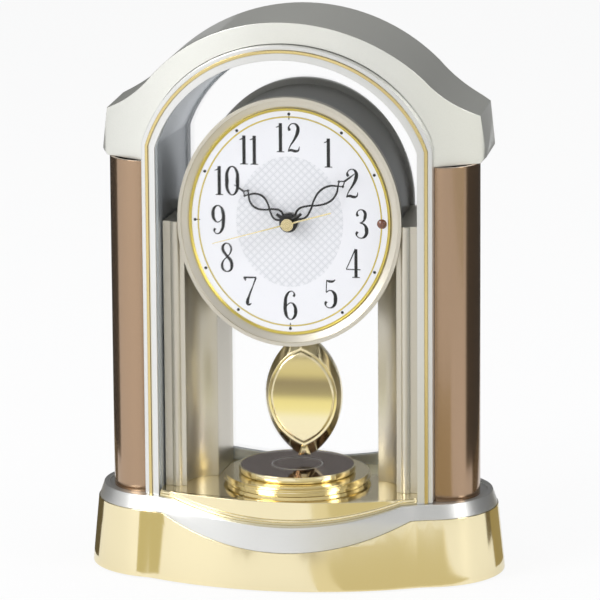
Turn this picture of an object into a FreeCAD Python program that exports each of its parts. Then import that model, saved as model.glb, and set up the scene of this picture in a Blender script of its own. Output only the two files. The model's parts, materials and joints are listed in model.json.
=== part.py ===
"""Mantel clock with an oval dial and a swinging ornamental pendulum.

Millimetres. +Z is up, the front of the clock faces -Y, and the origin lies on the
table under the middle of the base. Each sub-part is one object of the document.
"""
import FreeCAD
import Part
import Sketcher
import math
import os
import re
from types import SimpleNamespace

V = FreeCAD.Vector

# Driving sizes, in millimetres unless the name ends in deg, count, teeth or share
SIZES = {
    # Base plan: two round corner lobes joined by a round bulge in front
    "lobe_x": 68.5, "lobe_y": 8.75, "lobe_radius": 43.0,
    "bulge_radius": 161.0, "bulge_front": 51.75, "bulge_fillet": 25.0,
    # Base skirt
    "skirt_bottom": 0.8, "skirt_top": 36.5, "skirt_inset": 3.5, "skirt_wall": 2.4,
    "skirt_dip_radius": 150.0, "skirt_dip_depth": 15.5, "skirt_ledge": 2.6, "skirt_ledge_height": 2.0,
    # Base rim and its tray
    "rim_step": 0.4, "rim_top": 44.0, "rim_top_inset": 6.5, "rim_lip": 2.8,
    "rim_dip_radius": 205.0, "rim_dip_depth": 9.5, "tray_top": 43.0, "tray_thickness": 2.5,
    # Base deck
    "deck_top": 46.5, "deck_thickness": 2.0, "deck_half_width": 69.0, "deck_back": 45.8,
    "deck_front_radius": 150.0, "deck_front": 40.75, "deck_apron_bottom": 31.0, "deck_apron_wall": 2.0,
    "deck_rib_inset": 9.4, "deck_rib_width": 0.8, "deck_rib_step": 1.2,
    # Bottom cover, feet, ballast and screws
    "cover_thickness": 2.0, "fit_gap": 0.3, "foot_radius": 7.5, "foot_x": 72.0, "foot_front_y": 12.0,
    "foot_back_y": 34.0, "weight_length": 110.0, "weight_width": 46.0, "weight_height": 6.0,
    "weight_y": 12.0, "boss_radius": 4.0, "boss_x": 88.0, "boss_front_y": 8.0, "boss_back_y": 28.0,
    "screw_shank_radius": 1.4, "screw_head_radius": 3.0, "screw_head_height": 1.1,
    "screw_length": 14.0, "screw_play": 0.05,
    # Columns
    "column_x": 78.2, "column_y": 4.5, "column_radius": 20.7, "column_wall": 2.0, "column_inner_x": 71.2,
    # Hood
    "hood_bottom": 223.0, "hood_top_front": 301.3, "hood_top_back": 298.8, "hood_radius_front": 97.5,
    "hood_radius_back": 102.0, "hood_crown_x": 72.0, "hood_shoulder_x": 99.5, "hood_shoulder_z": 248.5,
    "hood_neck_x": 84.5, "hood_neck_z": 257.4, "hood_side_x": 102.5, "hood_corner": 3.0,
    "hood_bow_radius": 165.0, "hood_front": 34.0,
    "hood_back": 48.0, "hood_back_corner": 12.0, "hood_front_corner": 6.0, "hood_wall": 2.6,
    "hood_opening_gap": 0.3,
    # Arch of the case: straight legs under a round top, bowed in plan
    "arch_half_width": 77.1, "arch_centre": 209.0, "arch_radius": 80.9, "bow_radius": 204.0,
    "bow_front": 38.5, "bezel_depth": 7.5, "bezel_width": 7.8, "bezel_lip_depth": 1.9,
    "bezel_rebate_inset": 5.7,
    "bead_inset": 2.3, "bead_width": 1.6, "bead_stand": 0.6, "bead_depth": 1.5, "pane_thickness": 1.2,
    # Inner wall of the case and its back
    "liner_wall": 1.6, "liner_front_inset": 6.5, "liner_back_inset": 12.3, "liner_front": 40.0,
    "case_back": 46.0, "frame_thickness": 2.5, "window_inset": 13.6, "window_bottom": 50.0,
    "window_smile_radius": 247.0, "window_thickness": 1.6,
    # Dial and its ring
    "dial_z": 191.8, "dial_front": 13.0, "dial_thickness": 1.0, "dial_hole": 4.2,
    "ring_half_width": 59.7, "ring_half_height": 66.9, "ring_front": 15.5, "ring_lip": 2.0,
    "ring_step": 0.9, "ring_slope": 1.6, "gold_half_width": 53.7, "gold_half_height": 60.8,
    "gold_width": 1.6, "gold_stand": 1.0,
    "sensor_x": 49.0, "sensor_radius": 2.6, "sensor_height": 1.3,
    # Side pillars of the dial unit
    "pillar_front": 13.0, "pillar_top": 190.7, "pillar_outer_front_x": 68.0, "pillar_outer_back_x": 64.3,
    "bar_outer_x": 63.9, "bar_inner_x": 59.0, "bar_stand": 2.0, "cove_front_x": 56.5,
    "cove_back_x": 43.4, "cove_back_y": 10.25, "cove_depth_share": 0.24, "wing_back_x": 41.0,
    "pillar_wall": 2.0, "pillar_back": 43.9,
    # Housing barrel behind the dial
    "barrel_half_width": 56.7, "barrel_half_height": 63.8, "barrel_back_half_width": 56.3,
    "barrel_back_half_height": 63.4, "barrel_wall": 2.0, "barrel_front": 11.0, "flange_half_width": 58.5,
    "flange_half_height": 67.0, "flange_thickness": 1.7, "rod_slot_half": 13.0, "rod_slot_front": 10.0,
    "rod_slot_back": 20.5, "rod_slot_height": 16.0,
    # Pedestal
    "pedestal_y": 7.25, "pedestal_radius": 38.8, "pedestal_step_top": 51.7, "pedestal_bead": 0.7,
    "pedestal_foot_inset": 1.2, "pedestal_top_radius": 31.4, "pedestal_top_z": 55.5,
    "pedestal_rim_width": 1.3, "mirror_thickness": 1.2, "pedestal_waist_inset": 0.8,
    # Pendulum
    "pendulum_y": 15.25, "swing_deg": -1.6, "pivot_z": 190.0, "pivot_radius": 1.2,
    "running_play": 0.05, "eye_radius": 3.4,
    "rod_width": 4.0, "rod_thickness": 1.6, "bob_z": 91.8, "bob_half_height": 34.5,
    "bob_cut": 31.8, "bob_half_width": 20.5, "bob_edge": 5.0, "bob_bevel": 4.0, "face_half_width": 17.2,
    "face_half_height": 25.4, "face_thickness": 1.4, "face_sink": 0.6, "tip_width": 6.8, "tip_height": 4.8,
    "tip_thickness": 2.6, "hanger_width": 9.0, "hanger_height": 7.0, "hanger_thickness": 7.0,
    "magnet_z": 172.0, "magnet_width": 10.0, "magnet_height": 6.0, "magnet_thickness": 3.0,
    "drive_coil_radius": 8.0, "drive_coil_gap": 0.8, "drive_core_radius": 2.0,
    # Movement case
    "movement_size": 56.0, "movement_front": 11.0, "movement_depth": 14.2, "movement_wall": 1.6,
    "movement_cover_thickness": 1.6, "bush_radius": 3.9, "bush_front": 14.4, "nut_radius": 5.5,
    "nut_thickness": 1.6, "plate_at": 6.4, "plate_thickness": 1.0, "plate_left": 16.0, "plate_right": 4.6,
    "plate_half_height": 14.0, "plate_post_x": 10.0, "plate_post_z": 12.0, "plate_post_radius": 1.5,
    # Gear train: module of each pair and the places of its wheels along Y from the case's front
    "going_module": 0.22, "motion_module": 0.30, "fifth_module": 0.24, "rotor_module": 0.20,
    "tooth_add_share": 0.74, "tooth_root_share": 1.2, "tooth_width_share": 0.34,
    "tooth_tip_share": 0.42, "tooth_base_share": 1.15,
    "second_pinion_teeth": 10, "third_wheel_teeth": 75, "third_pinion_teeth": 10,
    "centre_wheel_teeth": 80, "cannon_teeth": 12, "minute_wheel_teeth": 36, "minute_pinion_teeth": 10,
    "hour_wheel_teeth": 40, "second_wheel_teeth": 50, "fifth_pinion_teeth": 10, "fifth_wheel_teeth": 60,
    "rotor_pinion_teeth": 10, "wheel_thickness": 0.9, "pinion_length": 1.6,
    "hour_wheel_at": 1.9, "minute_wheel_at": 3.4, "centre_wheel_at": 5.2, "third_wheel_at": 8.0,
    "second_wheel_at": 10.0, "fifth_wheel_at": 11.6, "arbor_radius": 0.5, "arbor_end_gap": 0.2,
    "hour_pipe_radius": 2.5, "cannon_pipe_radius": 1.45, "second_arbor_radius": 0.8,
    "rotor_turn_deg": 225.0, "rotor_magnet_radius": 2.4, "rotor_magnet_length": 2.6,
    "stator_gap": 0.5, "stator_thickness": 1.0, "stator_width": 8.2, "coil_radius": 3.4,
    "coil_length": 18.0, "coil_drop": 13.0,
    # Hands
    "hour_hand_at": 15.4, "minute_hand_at": 17.4, "second_hand_at": 19.3, "hand_thickness": 0.5,
    "hand_line": 0.85, "hour_hand_length": 35.1, "minute_hand_length": 45.8, "second_hand_length": 41.9,
    "second_tail_length": 23.9, "hand_hub_radius": 4.0, "cap_radius": 3.3, "cap_height": 2.4,
    "second_hand_width": 0.9, "hand_ball_radius": 0.9,
    "hour_angle_deg": 304.2, "minute_angle_deg": 52.2, "second_angle_deg": 254.2,
    # Battery tray, cells, door, rear cover and buttons
    "cell_radius": 7.25, "cell_length": 50.5, "cell_first_x": 23.8, "cell_pitch": 15.4, "cell_y": 36.0,
    "tray_left_x": 14.9, "tray_right_x": 48.1, "tray_half_height": 27.6, "tray_front": 27.0,
    "tray_wall": 1.3, "contact_thickness": 0.3, "contact_width": 8.0,
    "rear_cover_half_width": 58.4, "rear_cover_half_height": 66.8, "rear_cover_thickness": 2.2,
    "door_left_x": 16.2, "door_right_x": 46.8, "door_top": 222.0, "door_hinge_z": 161.0,
    "door_thickness": 1.6, "door_gap": 0.3, "knuckle_radius": 1.5, "door_pin_radius": 0.8,
    "knuckle_left_x": 22.0, "knuckle_right_x": 41.0, "door_lift": 0.4, "notch_depth": 2.1,
    "button_x": -28.0, "button_pitch": 12.0, "button_radius": 3.0, "button_flange_radius": 4.2,
    "button_flange_thickness": 1.2, "button_proud": 1.3, "button_inner_length": 3.2,
    "board_left_x": -46.0, "board_right_x": -14.0, "board_half_height": 22.0, "board_thickness": 1.6,
    "board_post_radius": 2.0, "board_gap": 4.4, "housing_screw_x": 41.5, "housing_screw_drop": 36.0,
    "housing_screw_radius": 1.3, "housing_screw_head_radius": 2.6, "housing_screw_head": 1.0,
    "housing_screw_length": 10.0, "housing_boss_radius": 3.4,
}

# One overrun serves every cut that has to pass right through
OVERRUN = 2.0
BIG = 400.0
HALF = 0.5
DEG = math.pi / 180.0

doc = FreeCAD.newDocument("MantelClock")
sheet = doc.addObject("Spreadsheet::Sheet", "Sizes")
for row, (alias, value) in enumerate(SIZES.items(), start=1):
    sheet.set("A%d" % row, alias)
    sheet.set("B%d" % row, repr(value))
    sheet.setAlias("B%d" % row, alias)
doc.recompute()

S = SimpleNamespace(**{alias: float(sheet.get(alias)) for alias in SIZES})

NODES = []


def bind(obj, prop, text):
    """Bind one property of an object to an expression in the sheet's aliases."""
    words = re.sub(r"[a-z][a-z0-9_]*[a-z0-9]", lambda m: "Sizes." + m.group(0), text)
    obj.setExpression(prop, words)


def keep(obj, name):
    """Name an object as a finished sub-part."""
    obj.Label = name
    NODES.append(obj)
    return obj


def solid_node(name, shape):
    """A sub-part whose shape is set by Part's functions from the sheet's sizes."""
    obj = doc.addObject("Part::Feature", name)
    obj.Shape = shape
    obj.Placement = shape.Placement
    return keep(obj, name)


def bound_cylinder(name, radius, height, place, axis="z"):
    """A cylinder bound to the sheet, its foot centre at place, along z or y."""
    obj = doc.addObject("Part::Cylinder", name)
    bind(obj, "Radius", radius)
    bind(obj, "Height", height)
    if axis == "y":
        obj.Placement = FreeCAD.Placement(V(), FreeCAD.Rotation(V(1, 0, 0), -90))
    if axis == "x":
        obj.Placement = FreeCAD.Placement(V(), FreeCAD.Rotation(V(0, 1, 0), 90))
    for letter, text in zip("xyz", place):
        bind(obj, "Placement.Base." + letter, text)
    return obj


def bound_box(name, size, place):
    """A box bound to the sheet, its lowest corner at place."""
    obj = doc.addObject("Part::Box", name)
    for prop, text in zip(("Length", "Width", "Height"), size):
        bind(obj, prop, text)
    for letter, text in zip("xyz", place):
        bind(obj, "Placement.Base." + letter, text)
    return obj


def group(name, objects):
    """Like pieces kept as separate solids in one sub-part."""
    obj = doc.addObject("Part::Compound", name)
    obj.Links = objects
    return keep(obj, name)


def origin_plane(body, role):
    """The body's own origin plane or axis with this role."""
    return next(f for f in body.Origin.OriginFeatures if f.Role == role)


def turned_body(name, profile, place):
    """A PartDesign body turned about Z from corner points of bound radii and heights."""
    body = doc.addObject("PartDesign::Body", name)
    sketch = body.newObject("Sketcher::SketchObject", name + "_profile")
    sketch.AttachmentSupport = [(origin_plane(body, "XZ_Plane"), "")]
    sketch.MapMode = "FlatFace"
    corners = [(evaluate(r), evaluate(h)) for r, h in profile]
    count = len(corners)
    for i in range(count):
        a = V(corners[i][0], corners[i][1], 0)
        b = V(corners[(i + 1) % count][0], corners[(i + 1) % count][1], 0)
        sketch.addGeometry(Part.LineSegment(a, b), False)
    for i in range(count):
        link = Sketcher.Constraint("Coincident", i, 2, (i + 1) % count, 1)
        sketch.addConstraint(link)
    for i, (r, h) in enumerate(profile):
        place_corner(sketch, i, "DistanceX", r, corners[i][0], -2)
        place_corner(sketch, i, "DistanceY", h, corners[i][1], -1)
    turn = body.newObject("PartDesign::Revolution", name + "_turn")
    turn.Profile = sketch
    turn.ReferenceAxis = (sketch, ["V_Axis"])
    turn.Angle = 360
    for letter, text in zip("xyz", place):
        bind(body, "Placement.Base." + letter, text)
    return keep(body, name)


def place_corner(sketch, i, kind, text, value, axis):
    """Hold one corner of a profile to its bound distance, or on the axis at zero."""
    if value == 0:
        sketch.addConstraint(Sketcher.Constraint("PointOnObject", i, 1, axis))
        return
    at = sketch.addConstraint(Sketcher.Constraint(kind, -1, 1, i, 1, value))
    bind(sketch, "Constraints[%d]" % at, text)


def evaluate(text):
    """The value of an expression in the sheet's aliases."""
    words = re.sub(r"[a-z][a-z0-9_]*[a-z0-9]", lambda m: "Sizes." + m.group(0), text)
    return float(sheet.evalExpression(words))


# Plane shapes and prisms used by several pieces


def arc_edge(centre, radius, start, end, z=0.0):
    """Arc in the plane of constant z, from start to end angle in radians."""
    middle = (start + end) * HALF
    spots = []
    for angle in (start, middle, end):
        spots.append(V(centre[0] + radius * math.cos(angle), centre[1] + radius * math.sin(angle), z))
    return Part.Arc(*spots).toShape()


def base_outline(inset, z):
    """Plan outline of the base, moved inwards by inset, as a closed wire at height z."""
    lobe = (S.lobe_x, S.lobe_y)
    bulge = (0.0, S.bulge_radius - S.bulge_front)
    r_lobe = S.lobe_radius - inset
    r_bulge = S.bulge_radius - inset
    r_fillet = S.bulge_fillet + inset
    reach_lobe = S.lobe_radius + S.bulge_fillet
    reach_bulge = S.bulge_radius + S.bulge_fillet
    gap = math.hypot(lobe[0] - bulge[0], lobe[1] - bulge[1])
    along = (reach_bulge ** 2 - reach_lobe ** 2 + gap ** 2) / (gap + gap)
    aside = math.sqrt(reach_bulge ** 2 - along ** 2)
    ux, uy = (lobe[0] - bulge[0]) / gap, (lobe[1] - bulge[1]) / gap
    fillet = (bulge[0] + along * ux + aside * uy, bulge[1] + along * uy - aside * ux)
    to_bulge = math.atan2(bulge[1] - fillet[1], bulge[0] - fillet[0])
    to_lobe = math.atan2(lobe[1] - fillet[1], lobe[0] - fillet[0])
    lobe_start = math.atan2(fillet[1] - lobe[1], fillet[0] - lobe[0])
    bulge_end = math.atan2(fillet[1] - bulge[1], fillet[0] - bulge[0])
    quarter = math.pi * HALF
    half_turn = math.pi
    left_lobe = (-lobe[0], lobe[1])
    left_fillet = (-fillet[0], fillet[1])
    top_y = lobe[1] + r_lobe
    edges = [
        arc_edge(bulge, r_bulge, -half_turn - bulge_end, bulge_end, z),
        arc_edge(fillet, r_fillet, to_bulge, to_lobe, z),
        arc_edge(lobe, r_lobe, lobe_start, quarter, z),
        Part.LineSegment(V(lobe[0], top_y, z), V(-lobe[0], top_y, z)).toShape(),
        arc_edge(left_lobe, r_lobe, quarter, half_turn - lobe_start, z),
        arc_edge(left_fillet, r_fillet, half_turn - to_lobe, half_turn - to_bulge, z),
    ]
    return Part.Wire(edges)


def base_slab(inset_low, z_low, inset_high, z_high):
    """Solid between two base outlines."""
    wires = [base_outline(inset_low, z_low), base_outline(inset_high, z_high)]
    return Part.makeLoft(wires, True, True)


def box(x0, x1, y0, y1, z0, z1):
    """Box between two corners."""
    return Part.makeBox(x1 - x0, y1 - y0, z1 - z0, V(x0, y0, z0))


def dip_tool(radius, depth, rim_z, lift, below):
    """Prism under (or over) the curve that dips in front, flat outside the dip."""
    reach = math.sqrt(radius ** 2 - (radius - depth) ** 2)
    top = rim_z + lift
    far = -BIG if below else BIG
    left, right = V(-reach, 0, top), V(reach, 0, top)
    low = V(0, 0, top - depth)
    edges = [
        Part.LineSegment(V(-BIG, 0, top), left).toShape(),
        Part.Arc(left, low, right).toShape(),
        Part.LineSegment(right, V(BIG, 0, top)).toShape(),
        Part.LineSegment(V(BIG, 0, top), V(BIG, 0, far)).toShape(),
        Part.LineSegment(V(BIG, 0, far), V(-BIG, 0, far)).toShape(),
        Part.LineSegment(V(-BIG, 0, far), V(-BIG, 0, top)).toShape(),
    ]
    face = Part.Face(Part.Wire(edges))
    face.translate(V(0, -BIG, 0))
    return face.extrude(V(0, BIG, 0))


def back_half_below(z):
    """Half space behind the middle plane and under height z."""
    return box(-BIG, BIG, 0.0, BIG, -BIG, z)


def arch_wire(inset, bottom, y):
    """Arch outline in the plane of constant y, moved inwards by inset."""
    half = S.arch_half_width - inset
    radius = S.arch_radius - inset
    spring = S.arch_centre + math.sqrt(radius ** 2 - half ** 2)
    apex = V(0, y, S.arch_centre + radius)
    left, right = V(-half, y, spring), V(half, y, spring)
    low_left, low_right = V(-half, y, bottom), V(half, y, bottom)
    edges = [
        Part.LineSegment(low_left, left).toShape(),
        Part.Arc(left, apex, right).toShape(),
        Part.LineSegment(right, low_right).toShape(),
        Part.LineSegment(low_right, low_left).toShape(),
    ]
    return Part.Wire(edges)


def arch_prism(inset, bottom, y0, y1):
    """Prism of the arch outline from y0 to y1."""
    face = Part.Face(arch_wire(inset, bottom, y0))
    return face.extrude(V(0, y1 - y0, 0))


def bow_slab(depth_front, depth_back):
    """Curved slab that follows the bowed front, between two depths behind it."""
    axis_y = S.bow_radius - S.bow_front
    outer = Part.makeCylinder(S.bow_radius - depth_front, BIG, V(0, axis_y, 0))
    inner = Part.makeCylinder(S.bow_radius - depth_back, BIG, V(0, axis_y, 0))
    return outer.cut(inner).common(box(-BIG, BIG, -BIG - BIG, 0.0, 0.0, BIG))


def oval_wire(half_width, half_height, y):
    """Ellipse about the dial's centre in the plane of constant y."""
    centre = V(0, y, S.dial_z)
    top = V(0, y, S.dial_z + half_height)
    side = V(half_width, y, S.dial_z)
    long_end, short_end = (top, side) if half_height > half_width else (side, top)
    return Part.Wire([Part.Ellipse(long_end, short_end, centre).toShape()])


def oval_prism(half_width, half_height, y0, y1):
    """Oval plate from y0 to y1."""
    return Part.Face(oval_wire(half_width, half_height, y0)).extrude(V(0, y1 - y0, 0))


def oval_loft(width0, height0, y0, width1, height1, y1):
    """Solid between two ovals."""
    return Part.makeLoft([oval_wire(width0, height0, y0), oval_wire(width1, height1, y1)], True, True)


def rod_y(radius, y0, y1, x=0.0, z=0.0):
    """Round rod along Y."""
    return Part.makeCylinder(radius, y1 - y0, V(x, y0, z), V(0, 1, 0))


def rod_x(radius, x0, x1, y, z):
    """Round rod along X."""
    return Part.makeCylinder(radius, x1 - x0, V(x0, y, z), V(1, 0, 0))


def mirrored(shape):
    """The same shape on the other side of the middle plane."""
    return shape.mirror(V(0, 0, 0), V(1, 0, 0))


# Base skirt: tapered gold shell whose top edge dips in front


def make_base_skirt():
    inner_low = S.skirt_wall
    inner_high = S.skirt_inset + S.skirt_wall
    shell = base_slab(0.0, S.skirt_bottom, S.skirt_inset, S.skirt_top)
    hollow = base_slab(inner_low, S.skirt_bottom, inner_high, S.skirt_top)
    ledge_z = S.skirt_bottom + S.cover_thickness
    ledge = base_slab(inner_low, ledge_z, inner_low, ledge_z + S.skirt_ledge_height)
    ledge_inner = inner_low + S.skirt_ledge
    ledge = ledge.cut(base_slab(ledge_inner, ledge_z, ledge_inner, ledge_z + S.skirt_ledge_height))
    shell = shell.cut(hollow)
    ledge = ledge.common(base_slab(0.0, S.skirt_bottom, S.skirt_inset, S.skirt_top))
    shell = shell.fuse(ledge)
    above = dip_tool(S.skirt_dip_radius, S.skirt_dip_depth, S.skirt_top, 0.0, False)
    return shell.cut(above).removeSplitter()


# Base rim: silver moulding over the skirt with the tray that carries the columns


def make_base_rim(deck):
    low = S.skirt_top - S.skirt_dip_depth
    taper = S.skirt_inset / (S.skirt_top - S.skirt_bottom)
    foot_inset = S.skirt_inset + S.rim_step
    low_inset = foot_inset - taper * (S.skirt_top - low)
    band = base_slab(low_inset, low, foot_inset, S.skirt_top)
    band = band.fuse(base_slab(foot_inset, S.skirt_top, S.rim_top_inset, S.rim_top))
    inner = S.rim_top_inset + S.rim_lip
    hollow = base_slab(inner, low - OVERRUN, inner, S.rim_top + OVERRUN)
    band = band.cut(hollow)
    under_front = dip_tool(S.skirt_dip_radius, S.skirt_dip_depth, S.skirt_top, 0.0, True)
    band = band.cut(under_front).cut(back_half_below(S.skirt_top))
    tray_low = S.tray_top - S.tray_thickness
    tray = base_slab(inner, tray_low, inner, S.tray_top)
    seat = boss_cylinders(S.boss_radius, tray_low)
    bore = boss_cylinders(S.screw_shank_radius + S.screw_play, S.screw_length + OVERRUN)
    rim = band.fuse([tray] + seat)
    for hole in bore:
        rim = rim.cut(hole)
    over_front = dip_tool(S.rim_dip_radius, S.rim_dip_depth, S.rim_top, 0.0, False)
    rim = rim.cut(over_front)
    behind_apron = S.deck_front_radius - S.deck_apron_wall
    clear = deck_disc(S.deck_front_radius + OVERRUN).cut(deck_disc(behind_apron))
    clear = clear.common(box(-S.deck_half_width, S.deck_half_width, -BIG, 0.0, 0.0, BIG))
    ring_space = Part.makeCylinder(S.bulge_radius - S.deck_rib_inset, BIG, bulge_centre())
    ring_space = ring_space.cut(deck_disc(behind_apron))
    ring_space = ring_space.common(box(-S.deck_half_width, S.deck_half_width, -BIG, 0.0, 0.0, BIG))
    return rim.cut(clear).cut(ring_space).cut(deck).removeSplitter()


def boss_spots():
    """Plan places of the four screws under the base."""
    spots = []
    for side in (-1, 1):
        spots.append((side * S.boss_x, -S.boss_front_y))
        spots.append((side * S.boss_x, S.boss_back_y))
    return spots


def boss_cylinders(radius, top):
    """Four upright rods from the bottom cover to a height."""
    low = S.skirt_bottom + S.cover_thickness
    return [Part.makeCylinder(radius, top - low, V(x, y, low)) for x, y in boss_spots()]


def bulge_centre():
    """Centre of the bulge's circle, on the table."""
    return V(0, S.bulge_radius - S.bulge_front, 0)


def deck_disc(radius):
    """Tall disc concentric with the deck's front edge."""
    return Part.makeCylinder(radius, BIG, V(0, S.deck_front_radius - S.deck_front, 0))


# Base deck: gold plate with a front apron and two ribs that follow the rim


def make_base_deck():
    half = S.deck_half_width
    low = S.deck_top - S.deck_thickness
    plate = deck_disc(S.deck_front_radius).common(box(-half, half, -BIG, S.deck_back, low, S.deck_top))
    apron = deck_disc(S.deck_front_radius).cut(deck_disc(S.deck_front_radius - S.deck_apron_wall))
    apron = apron.common(box(-half, half, -BIG, 0.0, S.deck_apron_bottom, S.deck_top))
    deck = plate.fuse(apron)
    for step in (1, 2):
        inset = S.deck_rib_inset + (step - 1) * S.deck_rib_width
        rib = Part.makeCylinder(S.bulge_radius - inset, BIG, bulge_centre())
        rib = rib.cut(deck_disc(S.deck_front_radius - S.deck_apron_wall))
        rib = rib.common(box(-half, half, -BIG, 0.0, S.deck_apron_bottom, S.deck_top))
        over = dip_tool(S.rim_dip_radius, S.rim_dip_depth, S.rim_top, step * S.deck_rib_step, False)
        deck = deck.fuse(rib.cut(over))
    feet = box(-half, half, 0.0, S.deck_back, S.tray_top, low)
    feet = feet.cut(box(-half + OVERRUN, half - OVERRUN, -BIG, S.deck_back - OVERRUN, 0.0, BIG))
    return deck.fuse(feet).removeSplitter()


# Bottom cover, feet, ballast and screws


def make_bottom_cover():
    inset = S.skirt_wall + S.fit_gap
    low = S.skirt_bottom
    cover = base_slab(inset, low, inset, low + S.cover_thickness)
    for x, y in boss_spots():
        hole = Part.makeCylinder(S.screw_shank_radius + S.screw_play, BIG, V(x, y, 0))
        sink = Part.makeCylinder(S.screw_head_radius + S.fit_gap, S.screw_head_height, V(x, y, low))
        cover = cover.cut(hole).cut(sink)
    return cover


def make_base_feet():
    feet = []
    for side in (-1, 1):
        for name, y in (("front", "-foot_front_y"), ("back", "foot_back_y")):
            x = "foot_x" if side > 0 else "-foot_x"
            label = "foot_%s_%s" % (name, "right" if side > 0 else "left")
            feet.append(bound_cylinder(label, "foot_radius", "skirt_bottom", (x, y, "0 * foot_x")))
    group("base_feet", feet)


def make_base_weight():
    place = ("-weight_length / 2", "weight_y - weight_width / 2", "skirt_bottom + cover_thickness")
    weight = bound_box("base_weight", ("weight_length", "weight_width", "weight_height"), place)
    keep(weight, "base_weight")


def screw(x, y, z, head_radius, head_height, shank_radius, length, direction):
    """Pan-head screw with its head face at z or y and its shank along direction."""
    at = V(x, y, z)
    head = Part.makeCylinder(head_radius, head_height, at, direction)
    shank = Part.makeCylinder(shank_radius, length, at, direction)
    slot_width = shank_radius * HALF
    slot = Part.makeBox(head_radius * 2, slot_width, slot_width)
    slot.translate(V(-head_radius, -slot_width * HALF, 0))
    turn = FreeCAD.Rotation(V(0, 0, 1), direction)
    slot.Placement = FreeCAD.Placement(at, turn).multiply(slot.Placement)
    return head.fuse(shank).cut(slot).removeSplitter()


def make_base_screws():
    screws = []
    for x, y in boss_spots():
        length = S.screw_length - S.skirt_bottom
        screws.append(screw(x, y, S.skirt_bottom, S.screw_head_radius, S.screw_head_height - S.screw_play,
                            S.screw_shank_radius, length, V(0, 0, 1)))
    return Part.makeCompound(screws)


# Side columns: shells with a round outer face and a flat inner side


def make_column():
    height = S.hood_bottom - S.tray_top
    outer = column_plan(0.0, height)
    inner = column_plan(S.column_wall, height)
    bezel_room = arch_prism(-S.fit_gap, 0.0, -BIG, 0.0).common(bow_slab(-BIG, S.bezel_depth + S.fit_gap))
    return outer.cut(inner).cut(bezel_room).removeSplitter()


def column_plan(inset, height):
    """Upright D-shaped prism, moved inwards by inset."""
    radius = S.column_radius - inset
    round_part = Part.makeCylinder(radius, height, V(S.column_x, S.column_y, S.tray_top))
    x0 = S.column_inner_x + inset
    flat_part = box(x0, S.column_x, S.column_y - radius, S.column_y + radius, S.tray_top, S.tray_top + height)
    keep_side = box(x0, BIG, -BIG, BIG, 0.0, BIG)
    return round_part.common(keep_side).fuse(flat_part).removeSplitter()


# Hood: ogee cap over the arch and the columns


def hood_profile(top, top_radius, wall, y):
    """Outline of the hood across the clock at depth y, moved inwards by wall."""
    radius = top_radius - wall
    centre = top - top_radius
    crown_x = S.hood_crown_x - wall * HALF
    crown_z = centre + math.sqrt(radius ** 2 - crown_x ** 2)
    neck = V(S.hood_neck_x - wall * HALF, y, S.hood_neck_z - wall)
    shoulder = V(S.hood_shoulder_x - wall, y, S.hood_shoulder_z - wall)
    side = V(S.hood_side_x - wall, y, S.hood_bottom + S.hood_corner)
    foot = V(S.hood_side_x - S.hood_corner, y, S.hood_bottom + wall)
    crown = V(crown_x, y, crown_z)
    flip = [V(-p.x, p.y, p.z) for p in (crown, neck, shoulder, side, foot)]
    edges = [
        Part.Arc(flip[0], V(0, y, centre + radius), crown).toShape(),
        Part.Arc(crown, neck, shoulder).toShape(),
        Part.LineSegment(shoulder, side).toShape(),
        Part.LineSegment(side, foot).toShape(),
        Part.LineSegment(foot, flip[4]).toShape(),
        Part.LineSegment(flip[4], flip[3]).toShape(),
        Part.LineSegment(flip[3], flip[2]).toShape(),
        Part.Arc(flip[2], flip[1], flip[0]).toShape(),
    ]
    return Part.Wire(edges)


def hood_plan(wall):
    """Tall prism of the hood's plan: bowed front and four round corners."""
    half = S.hood_side_x + S.fit_gap - wall
    radius = S.hood_bow_radius - wall
    axis_y = S.hood_bow_radius - S.hood_front
    front_y = axis_y - math.sqrt(radius ** 2 - half ** 2)
    back_y = S.hood_back - wall
    left, right = V(-half, front_y, 0), V(half, front_y, 0)
    back_right, back_left = V(half, back_y, 0), V(-half, back_y, 0)
    edges = [
        Part.Arc(left, V(0, axis_y - radius, 0), right).toShape(),
        Part.LineSegment(right, back_right).toShape(),
        Part.LineSegment(back_right, back_left).toShape(),
        Part.LineSegment(back_left, left).toShape(),
    ]
    prism = Part.Face(Part.Wire(edges)).extrude(V(0, 0, BIG))
    upright = [e for e in prism.Edges if e.BoundBox.ZLength > half]
    front = [e for e in upright if e.CenterOfMass.y < back_y * HALF]
    prism = prism.makeFillet(S.hood_front_corner - wall, front)
    upright = [e for e in prism.Edges if e.BoundBox.ZLength > half]
    back = [e for e in upright if e.CenterOfMass.y > back_y - wall - S.fit_gap]
    return prism.makeFillet(S.hood_back_corner - wall, back)


def hood_block(wall):
    """Solid block of the hood, moved inwards by wall."""
    front = hood_profile(S.hood_top_front, S.hood_radius_front, wall, -S.hood_front)
    back = hood_profile(S.hood_top_back, S.hood_radius_back, wall, S.hood_back)
    block = Part.makeLoft([front, back], True, True)
    return block.common(hood_plan(wall))


def make_hood():
    hood = hood_block(0.0).cut(hood_block(S.hood_wall))
    gap = S.hood_opening_gap
    front = arch_prism(-gap, 0.0, -BIG, 0.0).common(bow_slab(-BIG, S.bezel_depth + gap))
    back = arch_prism(-gap, 0.0, S.case_back - gap, BIG)
    return hood.cut(front).cut(back).cut(liner_shape(S.liner_wall + gap)).removeSplitter()


# Arch bezel, its bead and the clear front pane


def arch_ring(outer, inner, bottom, depth0, depth1):
    """Arch-shaped ring between two insets and two depths behind the bowed front."""
    ring = arch_prism(outer, bottom, -BIG, 0.0)
    ring = ring.cut(arch_prism(inner, bottom - OVERRUN, -BIG, 0.0))
    return ring.common(bow_slab(depth0, depth1))


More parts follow.
